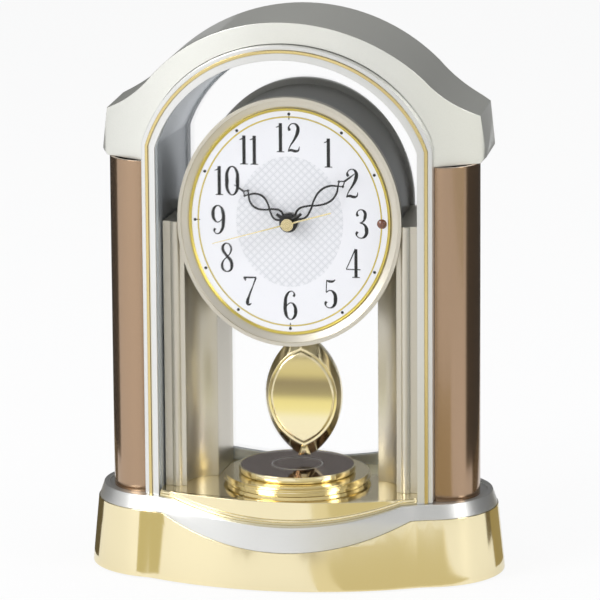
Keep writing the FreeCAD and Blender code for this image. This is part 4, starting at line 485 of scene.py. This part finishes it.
# Slot, values and extras of each finish that keeps the record's colour.
RECORD_FINISHES = (
    ("black_plastic", (0.0, 0.48, 0.1, 0.15, 40.0, 900.0, 0.35), {}),
    ("grey_plastic", (0.0, 0.45, 0.1, 0.08, 40.0, 900.0, 0.35), {}),
    ("movement_white", (0.0, 0.4, 0.1, 0.05, 60.0, 1200.0, 0.2), {}),
    ("brass_train", (1.0, 0.25, 0.1, 0.08, 200.0, 3000.0, 0.2), {}),
    ("steel_parts", (1.0, 0.28, 0.1, 0.06, 200.0, 2500.0, 0.2), {"stretch": (1.0, 0.1, 1.0)}),
    ("board_green", (0.0, 0.3, 0.1, 0.2, 300.0, 1500.0, 0.3), {}),
    ("coil_copper", (0.8, 0.3, 0.1, 0.1, 200.0, 5000.0, 0.8), {"stretch": (1.0, 0.05, 1.0)}),
    ("cell_skin", (0.2, 0.25, 0.08, 0.1, 100.0, 1500.0, 0.05), {"coat": 0.4}),
    ("foot_rubber", (0.0, 0.75, 0.1, 0.2, 200.0, 1500.0, 0.6), {}),
    ("ballast_iron", (0.6, 0.6, 0.15, 0.2, 80.0, 700.0, 0.8), {}),
)


class CLOCK_OT_finishes(bpy.types.Operator):
    """Makes every finish and gives each CAD node its own"""

    bl_idname = "clock.finishes"
    bl_label = "Finishes"

    def execute(self, context):
        tint = context.scene.clock_colours
        make_tone_group()
        make_grain_group()
        make_lattice_group()
        for slot, setting, values, extras in TINTED_FINISHES:
            make_finish(slot, getattr(tint, setting), *values, **extras)
        for slot, colour, values in GOLD_SHADES:
            make_finish(slot, colour, *values)
        for slot, values, extras in RECORD_FINISHES:
            make_finish(slot, slot_colour(slot), *values, **extras)
        make_dial_finish(tint.dial)
        make_clear_finish()
        for name, node in frame["nodes"].items():
            for place in node.material_slots:
                place.material = bpy.data.materials[NODE_SLOTS[name] + "_finish"]
        return {"FINISHED"}


# ---------------------------------------------------------------- pieces

def copy_part(context, node, name, share=1.0, body="root"):
    """A copy of a node that stands for it, with its edges rounded by a share of the edge round."""
    piece = rounded_copy(node, name, context.scene.clock_sizes.edge_round * share)
    settle(piece, body, NODE_SLOTS[node], node)
    return piece


class CLOCK_OT_base(bpy.types.Operator):
    """Makes the gold skirt, the silver rim and the gold deck"""

    bl_idname = "clock.base"
    bl_label = "Base"

    def execute(self, context):
        copy_part(context, "base_skirt", "skirt_shell")
        copy_part(context, "base_rim", "rim_moulding")
        copy_part(context, "base_deck", "deck_plate")
        return {"FINISHED"}


class CLOCK_OT_columns(bpy.types.Operator):
    """Makes the two bronze side columns"""

    bl_idname = "clock.columns"
    bl_label = "Columns"

    def execute(self, context):
        copy_part(context, "column_left", "left_column")
        copy_part(context, "column_right", "right_column")
        return {"FINISHED"}


class CLOCK_OT_hood(bpy.types.Operator):
    """Makes the pearl hood"""

    bl_idname = "clock.hood"
    bl_label = "Hood"

    def execute(self, context):
        copy_part(context, "hood", "hood_shell")
        return {"FINISHED"}


class CLOCK_OT_arch(bpy.types.Operator):
    """Makes the silver arch, its gold bead, the case liner and the rear frame"""

    bl_idname = "clock.arch"
    bl_label = "Arch and liner"

    def execute(self, context):
        copy_part(context, "bezel_frame", "arch_moulding")
        bead = copy_part(context, "bezel_bead", "arch_bead", 0.6)
        change_finish(bead, "bead_gold")
        copy_part(context, "case_liner", "inner_wall", 0.6)
        copy_part(context, "rear_frame", "back_frame")
        return {"FINISHED"}


class CLOCK_OT_dial_frame(bpy.types.Operator):
    """Makes the dial's frame with its pillars, the barrel and the gold ring"""

    bl_idname = "clock.dial_frame"
    bl_label = "Dial frame"

    def execute(self, context):
        copy_part(context, "dial_frame", "frame_and_pillars", 0.8)
        copy_part(context, "dial_housing", "barrel", 0.8)
        ring = copy_part(context, "dial_ring", "gold_ring", 0.6)
        change_finish(ring, "deep_gold")
        return {"FINISHED"}


# A digit's strokes: points (x, z, half width) as shares of its height, and whether the stroke closes.
DIGITS = {
    "0": [([(0.25, 0.985, 0.020), (0.11, 0.86, 0.045), (0.07, 0.5, 0.064), (0.11, 0.14, 0.045),
            (0.25, 0.015, 0.020), (0.39, 0.14, 0.045), (0.43, 0.5, 0.064), (0.39, 0.86, 0.045)], True)],
    "1": [([(0.16, 0.0, 0.056), (0.16, 0.5, 0.056), (0.16, 0.985, 0.056)], False),
          ([(0.17, 0.965, 0.030), (0.10, 0.875, 0.020), (0.01, 0.845, 0.014)], False),
          ([(0.03, 0.014, 0.014), (0.16, 0.020, 0.022), (0.29, 0.014, 0.014)], False)],
    "2": [([(0.13, 0.74, 0.046), (0.10, 0.80, 0.044), (0.10, 0.88, 0.020), (0.25, 0.985, 0.018),
            (0.39, 0.88, 0.052), (0.39, 0.70, 0.062), (0.29, 0.46, 0.040), (0.14, 0.22, 0.020),
            (0.07, 0.05, 0.016)], False),
          ([(0.06, 0.03, 0.016), (0.16, 0.075, 0.044), (0.31, 0.045, 0.048), (0.40, 0.06, 0.030),
            (0.45, 0.20, 0.012)], False)],
    "3": [([(0.13, 0.76, 0.044), (0.10, 0.82, 0.040), (0.12, 0.92, 0.018), (0.24, 0.985, 0.018),
            (0.36, 0.90, 0.048), (0.37, 0.74, 0.052), (0.30, 0.58, 0.026), (0.19, 0.535, 0.014)], False),
          ([(0.19, 0.535, 0.014), (0.34, 0.48, 0.034), (0.42, 0.30, 0.064), (0.38, 0.10, 0.050),
            (0.24, 0.015, 0.018), (0.10, 0.08, 0.018), (0.08, 0.17, 0.040), (0.12, 0.23, 0.044)], False)],
    "4": [([(0.33, 0.99, 0.022), (0.18, 0.64, 0.018), (0.02, 0.29, 0.016)], False),
          ([(0.02, 0.285, 0.018), (0.26, 0.285, 0.018), (0.50, 0.285, 0.018)], False),
          ([(0.35, 0.0, 0.054), (0.35, 0.5, 0.054), (0.35, 0.985, 0.050)], False),
          ([(0.22, 0.014, 0.014), (0.35, 0.020, 0.022), (0.48, 0.014, 0.014)], False)],
    "5": [([(0.12, 0.955, 0.020), (0.22, 0.925, 0.044), (0.32, 0.925, 0.040), (0.42, 0.985, 0.014)], False),
          ([(0.125, 0.97, 0.016), (0.115, 0.76, 0.016), (0.105, 0.54, 0.016)], False),
          ([(0.105, 0.54, 0.016), (0.24, 0.615, 0.020), (0.38, 0.52, 0.052), (0.42, 0.32, 0.064),
            (0.37, 0.10, 0.048), (0.23, 0.015, 0.018), (0.10, 0.08, 0.018), (0.08, 0.17, 0.040),
            (0.12, 0.23, 0.044)], False)],
    "6": [([(0.35, 0.80, 0.042), (0.38, 0.86, 0.038), (0.36, 0.94, 0.018), (0.27, 0.985, 0.018),
            (0.13, 0.86, 0.044), (0.07, 0.55, 0.060), (0.09, 0.20, 0.056), (0.16, 0.06, 0.030),
            (0.26, 0.015, 0.018), (0.38, 0.11, 0.046), (0.42, 0.30, 0.060), (0.38, 0.49, 0.046),
            (0.27, 0.585, 0.018), (0.15, 0.52, 0.016), (0.09, 0.42, 0.016)], False)],
    "7": [([(0.03, 0.965, 0.026), (0.24, 0.962, 0.030), (0.46, 0.965, 0.026)], False),
          ([(0.04, 0.965, 0.024), (0.085, 0.91, 0.040), (0.10, 0.84, 0.012)], False),
          ([(0.45, 0.955, 0.030), (0.35, 0.68, 0.020), (0.22, 0.34, 0.034), (0.155, 0.10, 0.058),
            (0.17, 0.035, 0.040), (0.23, 0.03, 0.034), (0.29, 0.075, 0.010)], False)],
    "8": [([(0.25, 0.985, 0.018), (0.13, 0.91, 0.040), (0.11, 0.77, 0.050), (0.22, 0.58, 0.046),
            (0.38, 0.38, 0.056), (0.41, 0.20, 0.052), (0.36, 0.06, 0.034), (0.25, 0.015, 0.018),
            (0.13, 0.07, 0.036), (0.08, 0.22, 0.044), (0.14, 0.40, 0.022), (0.28, 0.54, 0.016),
            (0.38, 0.70, 0.028), (0.38, 0.87, 0.032)], True)],
}
# Widths of a digit and of a narrow one, and the gap between two, as shares of the height.
DIGIT_WIDTH, NARROW_WIDTH, DIGIT_GAP = 0.50, {"1": 0.33}, 0.02
DIGITS["9"] = [([(DIGIT_WIDTH - x, 1.0 - z, half) for x, z, half in points], closed)
               for points, closed in DIGITS["6"]]
# Middle of each numeral from the dial's centre, in millimetres.
NUMERAL_PLACES = {
    "12": (-0.4, 45.0), "1": (20.9, 37.4), "2": (33.2, 21.3), "3": (38.2, -0.2), "4": (33.6, -21.4),
    "5": (21.5, -38.2), "6": (0.2, -45.0), "7": (-21.4, -37.8), "8": (-33.6, -20.0), "9": (-38.2, 0.2),
    "10": (-33.2, 21.3), "11": (-21.2, 38.0),
}
NUMERAL_FLATNESS, LINE_FLATNESS, BLADE_FLATNESS = 0.06, 0.15, 0.35
# How far a numeral's middle stands off the dial, as a share of the print height.
PRINT_LIFT = 0.6
# Half width and half height of the gold line's oval and of the oval on which the marks stand.
LINE_HALF_SIZE, MARK_HALF_SIZE = (0.0488, 0.0560), (0.0505, 0.0576)
LINE_POINTS = 48
PRINT_OFFSET = Vector((0.0, -0.03 * MM, 0.0))
HOUR_MARK_SHARE = 1.7
PENDANT_TURNS = (0.0, math.pi, 1.5 * math.pi)
# Points of a pendant: share of the way out to its mark, and half width.
PENDANT_POINTS = ((0.990, 0.20 * MM), (0.965, 0.34 * MM), (0.945, 0.12 * MM))


class CLOCK_OT_numerals(bpy.types.Operator):
    """Draws the tall numerals on the dial"""

    bl_idname = "clock.numerals"
    bl_label = "Numerals"

    def execute(self, context):
        sizes = context.scene.clock_sizes
        height = sizes.numeral_height
        strokes = []
        for word, (x, z) in NUMERAL_PLACES.items():
            widths = [NARROW_WIDTH.get(digit, DIGIT_WIDTH) for digit in word]
            width = sum(widths) + DIGIT_GAP * (len(word) - 1)
            left = x * MM - 0.5 * width * height
            for digit, advance in zip(word, widths):
                for points, closed in DIGITS[digit]:
                    strokes.append(([(left + px * height, z * MM + (pz - 0.5) * height, half * height)
                                     for px, pz, half in points], closed))
                left += (advance + DIGIT_GAP) * height
        piece = draw_strokes("dial_numerals", strokes, NUMERAL_FLATNESS)
        move_mesh(piece, DIAL_CENTRE + Vector((0.0, -sizes.print_height * PRINT_LIFT, 0.0)))
        settle(piece, "root", "hand_black")
        return {"FINISHED"}


def mark_place(turn):
    """Where the ray at a clock angle meets the oval of the marks."""
    reach = 1.0 / math.hypot(math.sin(turn) / MARK_HALF_SIZE[0], math.cos(turn) / MARK_HALF_SIZE[1])
    return reach * math.sin(turn), reach * math.cos(turn)


class CLOCK_OT_dial_marks(bpy.types.Operator):
    """Makes the thin gold line, the round marks and the small pendants"""

    bl_idname = "clock.dial_marks"
    bl_label = "Dial marks"

    def execute(self, context):
        sizes = context.scene.clock_sizes
        half = sizes.line_width * 0.5
        ring = []
        for step in range(LINE_POINTS):
            turn = step * math.tau / LINE_POINTS
            ring.append((LINE_HALF_SIZE[0] * math.sin(turn), LINE_HALF_SIZE[1] * math.cos(turn), half))
        line = draw_strokes("minute_line", [(ring, True)], LINE_FLATNESS)
        move_mesh(line, DIAL_CENTRE + PRINT_OFFSET)
        settle(line, "root", "gold_plate")
        change_finish(line, "deep_gold")
        dots = []
        for mark in range(sizes.mark_count):
            on_hour = mark * 12 % sizes.mark_count == 0
            radius = sizes.dot_radius * (HOUR_MARK_SHARE if on_hour else 1.0)
            x, z = mark_place(mark * math.tau / sizes.mark_count)
            clear_selection()
            bpy.ops.mesh.primitive_cylinder_add(
                vertices=12, radius=radius, depth=0.1 * MM, rotation=(QUARTER, 0.0, 0.0),
                location=DIAL_CENTRE + PRINT_OFFSET + Vector((x, 0.0, z)))
            bpy.ops.object.transform_apply(location=True, rotation=True, scale=True)
            dots.append(bpy.context.object)
        marks = join(dots, "minute_dots")
        apply_modifier(marks, "BEVEL", width=0.02 * MM, segments=1, limit_method="ANGLE")
        settle(marks, "root", "hand_black")
        pins = []
        for turn in PENDANT_TURNS:
            x, z = mark_place(turn)
            pins.append(([(x * share, z * share, half) for share, half in PENDANT_POINTS], False))
        pendants = draw_strokes("dial_pendants", pins, LINE_FLATNESS)
        move_mesh(pendants, DIAL_CENTRE + PRINT_OFFSET)
        settle(pendants, "root", "hand_black")
        return {"FINISHED"}


# Strokes of a hand: points (x, z, half width) as shares of its width, its length and a millimetre.
STRAND = ((0.25, 0.10, 0.60), (1.05, 0.20, 0.56), (0.45, 0.31, 0.52), (-0.65, 0.41, 0.50),
          (-1.40, 0.54, 0.58), (-1.0, 0.66, 0.54), (0.0, 0.735, 0.46))
LOZENGE = ((0.0, 0.735, 0.40), (0.50, 0.775, 0.34), (0.0, 0.83, 0.34))
BARB = ((0.45, 0.775, 0.55), (0.85, 0.775, 0.62))
NEEDLE = ((0.0, 0.83, 0.55), (0.0, 0.90, 0.50), (0.0, 1.0, 0.16))
STRAND_WIDTH = {"hour_hand": 2.6 * MM, "minute_hand": 2.7 * MM}
BOSS_RADIUS = 4.8 * MM


def hand_strokes(length, width):
    """Strokes of an openwork hand that points up: two crossed strands, a lozenge and a needle."""
    strokes = []
    for side in (1.0, -1.0):
        for line in (STRAND, LOZENGE, BARB):
            strokes.append(([(side * x * width, z * length, half * MM) for x, z, half in line], False))
    strokes.append(([(x, z * length, half * MM) for x, z, half in NEEDLE], False))
    stem = [(0.0, BOSS_RADIUS * 0.4, 1.3 * MM), (0.0, BOSS_RADIUS + length * 0.09, 0.75 * MM)]
    strokes.append((stem, False))
    return strokes


def make_hand(context, name, node, body, length, angle, front):
    """An openwork hand on its round boss, turned to its time; front is the y of its face."""
    thickness = context.scene.clock_sizes.hand_thickness
    blade = draw_strokes(name + "_blade", hand_strokes(length, STRAND_WIDTH[node]), BLADE_FLATNESS)
    clear_selection()
    bpy.ops.mesh.primitive_cylinder_add(vertices=64, radius=BOSS_RADIUS, depth=thickness,
                                        rotation=(QUARTER, 0.0, 0.0))
    hub = bpy.context.object
    apply_place(hub)
    apply_modifier(hub, "BEVEL", width=thickness * 0.3, segments=3, limit_method="ANGLE")
    piece = join([blade, hub], name)
    smooth(piece, 40.0)
    piece.data.transform(Matrix.Rotation(math.radians(angle), 4, "Y"))
    move_mesh(piece, Vector((0.0, front + thickness * 0.5, DIAL_CENTRE.z)))
    settle(piece, body, "hand_black", node)


class CLOCK_OT_hands(bpy.types.Operator):
    """Makes the openwork hour and minute hands and the gold second hand"""

    bl_idname = "clock.hands"
    bl_label = "Hands"

    def execute(self, context):
        make_hand(context, "hour_openwork", "hour_hand", "hour_body", 0.0351, 304.2, -0.0159)
        make_hand(context, "minute_openwork", "minute_hand", "centre_body", 0.0458, 52.2, -0.0179)
        copy_part(context, "second_hand", "second_needle", 0.4, "second_body")
        return {"FINISHED"}


MIRROR_MIDDLE = (0.0, 0.00725, 0.05545)
MIRROR_LINE_RADIUS, MIRROR_LINE_FLATNESS = 0.0135, 0.4


class CLOCK_OT_pedestal(bpy.types.Operator):
    """Makes the stepped gold pedestal and the line on its mirror"""

    bl_idname = "clock.pedestal"
    bl_label = "Pedestal"

    def execute(self, context):
        copy_part(context, "pedestal_base", "pedestal_lower", 1.4)
        copy_part(context, "pedestal_top", "pedestal_upper", 1.4)
        copy_part(context, "pedestal_mirror", "mirror_disc", 0.6)
        clear_selection()
        bpy.ops.mesh.primitive_torus_add(major_radius=MIRROR_LINE_RADIUS, minor_radius=0.3 * MM,
                                         major_segments=96, minor_segments=10, location=MIRROR_MIDDLE)
        ring = bpy.context.object
        ring.scale = (1.0, 1.0, MIRROR_LINE_FLATNESS)
        apply_place(ring)
        ring.name = "mirror_line"
        ring.data.name = "mirror_line"
        smooth(ring, 60.0)
        settle(ring, "root", "satin_silver")
        return {"FINISHED"}


class CLOCK_OT_pendulum(bpy.types.Operator):
    """Makes the gold bob with its face, tip and hanger"""

    bl_idname = "clock.pendulum"
    bl_label = "Pendulum"

    def execute(self, context):
        for node, name, share in (("pendulum_bob", "bob_frame", 0.7), ("bob_face", "bob_mirror", 0.5),
                                  ("bob_tip", "tip_block", 0.5), ("bob_hanger", "hanger_block", 1.0),
                                  ("pendulum_rod", "rod_blade", 0.5)):
            copy_part(context, node, name, share, "pendulum_body")
        return {"FINISHED"}


class CLOCK_OT_rear(bpy.types.Operator):
    """Makes the rear cover, the battery door, the three buttons and the under cover"""

    bl_idname = "clock.rear"
    bl_label = "Rear and underside"

    def execute(self, context):
        copy_part(context, "rear_cover", "back_cover")
        copy_part(context, "battery_door", "door_panel", 0.7, "door_body")
        for node, name in (("set_button", "upper_button"), ("receive_button", "middle_button"),
                           ("reset_button", "lower_button")):
            copy_part(context, node, name, body=node + "_body")
        copy_part(context, "bottom_cover", "under_cover")
        return {"FINISHED"}


# ---------------------------------------------------------------- studio

def make_lamp(name, place, target, width, height, power):
    """A soft rectangular lamp that the camera doesn't see."""
    light = bpy.data.lights.new(name, "AREA")
    light.shape = "RECTANGLE"
    light.size = width
    light.size_y = height
    light.energy = power
    lamp = bpy.data.objects.new(name, light)
    lamp.location = place
    lamp.rotation_euler = (Vector(target) - Vector(place)).to_track_quat("-Z", "Y").to_euler()
    lamp.visible_camera = False
    bpy.context.scene.collection.objects.link(lamp)


# Brightness of the world from left to right, as reflections see it.
SWEEP = ((0.0, 0.80), (0.12, 1.0), (0.35, 1.0), (0.50, 0.86), (0.70, 0.72), (0.88, 0.62), (1.0, 0.45))


def make_world():
    """White to the eye and through glass, softly graded in reflections, plain on matt things."""
    world = bpy.data.worlds.new("studio")
    bpy.context.scene.world = world
    world.use_nodes = True
    tree = world.node_tree
    tree.nodes.clear()
    place = add_node(tree, "ShaderNodeTexCoord", -1000, 0)
    split = add_node(tree, "ShaderNodeSeparateXYZ", -820, 0, {0: place.outputs["Generated"]})
    side = map_range(tree, split.outputs["X"], (-1.0, 1.0), (0.0, 1.0), -640, 220)
    sweep = add_node(tree, "ShaderNodeValToRGB", -440, 220, {"Fac": side})
    fill_ramp(sweep, [(along, (tone, tone, tone)) for along, tone in SWEEP])
    front = map_range(tree, split.outputs["Y"], (-0.25, 0.45), (1.0, 0.16), -640, -60, "SMOOTHSTEP")
    lift = map_range(tree, split.outputs["Z"], (0.1, 0.9), (1.05, 0.45), -640, -300)
    graded = math_node(tree, "MULTIPLY", -300, 60, sweep.outputs["Color"], lift)
    level = math_node(tree, "MULTIPLY", -160, 60, graded, front)
    rays = add_node(tree, "ShaderNodeLightPath", -160, 420).outputs
    seen = math_node(tree, "MAXIMUM", 60, 420, rays["Is Camera Ray"], rays["Is Transmission Ray"])
    matt = add_node(tree, "ShaderNodeBackground", 60, 0, {"Color": (0.96, 0.98, 1.0, 1.0), "Strength": 0.55})
    gloss = add_node(tree, "ShaderNodeBackground", 60, -160, {"Strength": level})
    white = add_node(tree, "ShaderNodeBackground", 60, -320, {"Color": WHITE})
    unseen = mix_shaders(tree, rays["Is Glossy Ray"], matt, gloss, 280, 60)
    blend = mix_shaders(tree, seen, unseen, white, 460, 60)
    add_node(tree, "ShaderNodeOutputWorld", 660, 60, {"Surface": blend.outputs[0]})


FLOOR_WHITE_SHARE = 0.88


def make_floor():
    """A pale floor that looks white to the eye and keeps the clock's shadow."""
    clear_selection()
    bpy.ops.mesh.primitive_plane_add(size=16.0, location=(0.0, 0.0, 0.0))
    floor = bpy.context.object
    floor.name = "floor"
    tree, shader, output, vector = start_material("floor_white")
    add_tone(tree, shader, vector, (0.86, 0.86, 0.87), Drift=0.01, Roughness=0.6)
    shader.inputs["Specular IOR Level"].default_value = 0.1
    white = add_node(tree, "ShaderNodeEmission", 300, -420, {"Color": WHITE})
    rays = add_node(tree, "ShaderNodeLightPath", -200, -420).outputs
    seen = math_node(tree, "ADD", 0, -420, rays["Is Camera Ray"], rays["Is Transmission Ray"])
    mirrored = math_node(tree, "MULTIPLY", -20, -600, rays["Is Glossy Ray"], 0.5)
    both = math_node(tree, "ADD", 0, -560, seen, mirrored)
    share = math_node(tree, "MULTIPLY", 140, -500, both, FLOOR_WHITE_SHARE, clamp=True)
    blend = mix_shaders(tree, share, shader, white, 480, -200)
    tree.links.new(blend.outputs[0], output.inputs["Surface"])
    floor.data.materials.append(bpy.data.materials["floor_white_finish"])


def make_card(name, centre, size, spread, turn, upright, shade):
    """A glowing card of one tone that shows only in reflections, where it paints a reflection and lights
    nothing; its far end is spread times as wide.

    Returns its emission node.
    """
    clear_selection()
    bpy.ops.mesh.primitive_plane_add(size=1.0)
    card = bpy.context.object
    card.name = name
    card.scale = (size[0], size[1], 1.0)
    apply_place(card)
    for corner in card.data.vertices:
        if corner.co.x > 0:
            corner.co.y *= spread
    card.rotation_euler = (QUARTER if upright else 0.0, 0.0, math.radians(turn))
    card.location = centre
    apply_place(card)
    tree, shader, output, _ = start_material(name)
    tree.nodes.remove(shader)
    glow = add_node(tree, "ShaderNodeEmission", 300, 0, {"Color": (*shade, 1.0)})
    tree.links.new(glow.outputs[0], output.inputs["Surface"])
    card.data.materials.append(bpy.data.materials[name + "_finish"])
    card.visible_camera = False
    card.visible_diffuse = False
    card.visible_transmission = False
    card.visible_shadow = False
    return glow


# Bands of the bob's card from the bottom up, painted reflections for the bob's face: place and colour.
BOB_BANDS = ((0.0, (1.00, 1.00, 1.00)), (0.20, (1.00, 1.02, 1.02)), (0.30, (0.95, 0.92, 0.58)),
             (0.42, (0.92, 0.88, 0.52)), (0.50, (0.42, 0.39, 0.28)), (0.66, (0.32, 0.29, 0.23)),
             (0.76, (0.70, 0.65, 0.42)), (0.92, (0.74, 0.70, 0.50)), (1.0, (0.34, 0.31, 0.25)))


def make_bob_card():
    """A glowing card behind the pane whose level bands are painted reflections that show in the bob's
    polished face.
    """
    low, high = 0.062, 0.106
    centre = (-0.0015, -0.030, (low + high) / 2)
    glow = make_card("bob_card", centre, (0.046, high - low), 1.0, 0.0, True, WHITE[:3])
    tree = glow.id_data
    place = add_node(tree, "ShaderNodeTexCoord", -600, 0)
    split = add_node(tree, "ShaderNodeSeparateXYZ", -420, 0, {0: place.outputs["Object"]})
    rise = map_range(tree, split.outputs["Z"], (low, high), (0.0, 1.0), -240, 0)
    bands = add_node(tree, "ShaderNodeValToRGB", -40, 0, {"Fac": rise})
    fill_ramp(bands, BOB_BANDS)
    tree.links.new(bands.outputs["Color"], glow.inputs["Color"])


CAMERA_TARGET = Vector((0.0020, 0.00725, 0.1452))


def make_camera(sizes):
    """The camera at the photograph's viewing angle."""
    turn, rise = sizes.camera_turn, sizes.camera_rise
    towards = Vector((math.sin(turn) * math.cos(rise), -math.cos(turn) * math.cos(rise), math.sin(rise)))
    right = Vector((math.cos(turn), math.sin(turn), 0.0))
    up = towards.cross(right)
    axes = Matrix((right, up, towards)).transposed()
    data = bpy.data.cameras.new("photo_camera")
    data.sensor_width = 36.0
    data.lens = 300.0
    camera = bpy.data.objects.new("photo_camera", data)
    camera.matrix_world = (Matrix.Translation(CAMERA_TARGET + towards * sizes.camera_distance) @ axes.to_4x4()
                           @ Matrix.Rotation(sizes.camera_roll, 4, "Z"))
    bpy.context.scene.collection.objects.link(camera)
    bpy.context.scene.camera = camera


# Place, target, size across and up, and power of each lamp.
LAMPS = (
    ("left_window", (-1.5, -1.5, 1.3), (0.0, 0.0, 0.15), 1.1, 1.4, 26.0),
    ("right_window", (1.9, -0.7, 0.9), (0.0, 0.0, 0.15), 0.5, 1.4, 9.0),
    ("top_panel", (0.0, 0.1, 2.0), (0.0, 0.0, 0.2), 1.6, 1.2, 14.0),
)
# The cards glow and show only in reflections: their tones are painted reflections, light and dark, on the
# skirt, the columns and the other polished parts.
# Centre, size, spread, turn in degrees, whether it stands upright, and tone of each card.
CARDS = (
    ("left_card", (-0.21, 0.36, 0.32), (0.70, 0.58), 1.0, 90.0, True, (0.05, 0.05, 0.05)),
    ("left_low_card", (-0.21, 0.40, 0.015), (0.68, 0.03), 1.0, 90.0, True, (0.16, 0.13, 0.08)),
    ("right_card", (0.21, 0.34, 0.32), (0.72, 0.58), 1.0, 90.0, True, (0.05, 0.05, 0.05)),
    ("right_low_card", (0.21, 0.37, 0.015), (0.66, 0.03), 1.0, 90.0, True, (0.16, 0.13, 0.08)),
    ("front_glow", (-0.06, -1.85, 0.001), (0.90, 1.10), 1.0, 0.0, False, (1.35, 1.36, 1.36)),
    ("right_far_card", (1.40, -0.75, 0.001), (1.20, 1.10), 1.0, 0.0, False, (0.68, 0.67, 0.56)),
    ("hand_card", (-0.140, -0.880, 0.001), (0.13, 0.24), 1.0, 0.0, False, (0.42, 0.36, 0.18)),
    ("left_column_strip", (-0.2485, -0.7485, 0.001), (0.92, 0.045), 3.3, -103.0, False, (0.52, 0.49, 0.43)),
    ("right_column_strip", (0.001, -0.7475, 0.001), (0.90, 0.040), 3.5, -96.0, False, (0.40, 0.36, 0.29)),
    ("right_soft_card", (0.128, -0.236, 0.0005), (0.40, 0.105), 3.2, -73.5, False, (0.80, 0.75, 0.58)),
    ("right_near_card", (0.138, -0.232, 0.001), (0.40, 0.085), 3.0, -71.6, False, (0.64, 0.58, 0.38)),
    ("left_flag", (-0.0905, -0.0470, 0.018), (0.0075, 0.034), 1.0, -21.0, True, (0.60, 0.54, 0.32)),
    ("left_edge_flag", (-0.1175, 0.0150, 0.018), (0.030, 0.034), 1.0, 75.0, True, (0.12, 0.10, 0.06)),
    ("right_edge_flag", (0.1205, 0.0215, 0.018), (0.026, 0.034), 1.0, 116.0, True, (0.34, 0.28, 0.14)),
)


class CLOCK_OT_stage(bpy.types.Operator):
    """Sets up the floor, the world, the lamps, the cards and the camera"""

    bl_idname = "clock.stage"
    bl_label = "Studio"

    def execute(self, context):
        context.scene.view_settings.view_transform = "Standard"
        make_world()
        make_floor()
        for lamp in LAMPS:
            make_lamp(*lamp)
        for card in CARDS:
            make_card(*card)
        make_bob_card()
        make_camera(context.scene.clock_sizes)
        return {"FINISHED"}


# ---------------------------------------------------------------- add-on

STEPS = ("finishes", "base", "columns", "hood", "arch", "dial_frame", "numerals", "dial_marks", "hands",
         "pedestal", "pendulum", "rear", "stage")


class CLOCK_PT_sidebar(bpy.types.Panel):
    """Lists the settings and the steps that make the clock"""

    bl_label = "Desk pendulum clock"
    bl_idname = "CLOCK_PT_sidebar"
    bl_space_type = "VIEW_3D"
    bl_region_type = "UI"
    bl_category = "Clock"

    def draw(self, context):
        column = self.layout.column()
        for settings in (context.scene.clock_sizes, context.scene.clock_colours):
            for name in type(settings).__annotations__:
                column.prop(settings, name)
        for step in STEPS:
            column.operator("clock." + step)


CLASSES = (ClockColours, ClockSizes, CLOCK_OT_finishes, CLOCK_OT_base, CLOCK_OT_columns, CLOCK_OT_hood,
           CLOCK_OT_arch, CLOCK_OT_dial_frame, CLOCK_OT_numerals, CLOCK_OT_dial_marks, CLOCK_OT_hands,
           CLOCK_OT_pedestal, CLOCK_OT_pendulum, CLOCK_OT_rear, CLOCK_OT_stage, CLOCK_PT_sidebar)


def register():
    """Registers the classes and the scene's settings."""
    for item in CLASSES:
        bpy.utils.register_class(item)
    bpy.types.Scene.clock_colours = PointerProperty(type=ClockColours)
    bpy.types.Scene.clock_sizes = PointerProperty(type=ClockSizes)


def unregister():
    """Takes the settings and the classes away again."""
    del bpy.types.Scene.clock_sizes
    del bpy.types.Scene.clock_colours
    for item in reversed(CLASSES):
        bpy.utils.unregister_class(item)


def main():
    register()
    for step in STEPS:
        getattr(bpy.ops.clock, step)()
    clear_selection()


if __name__ == "__main__":
    main()
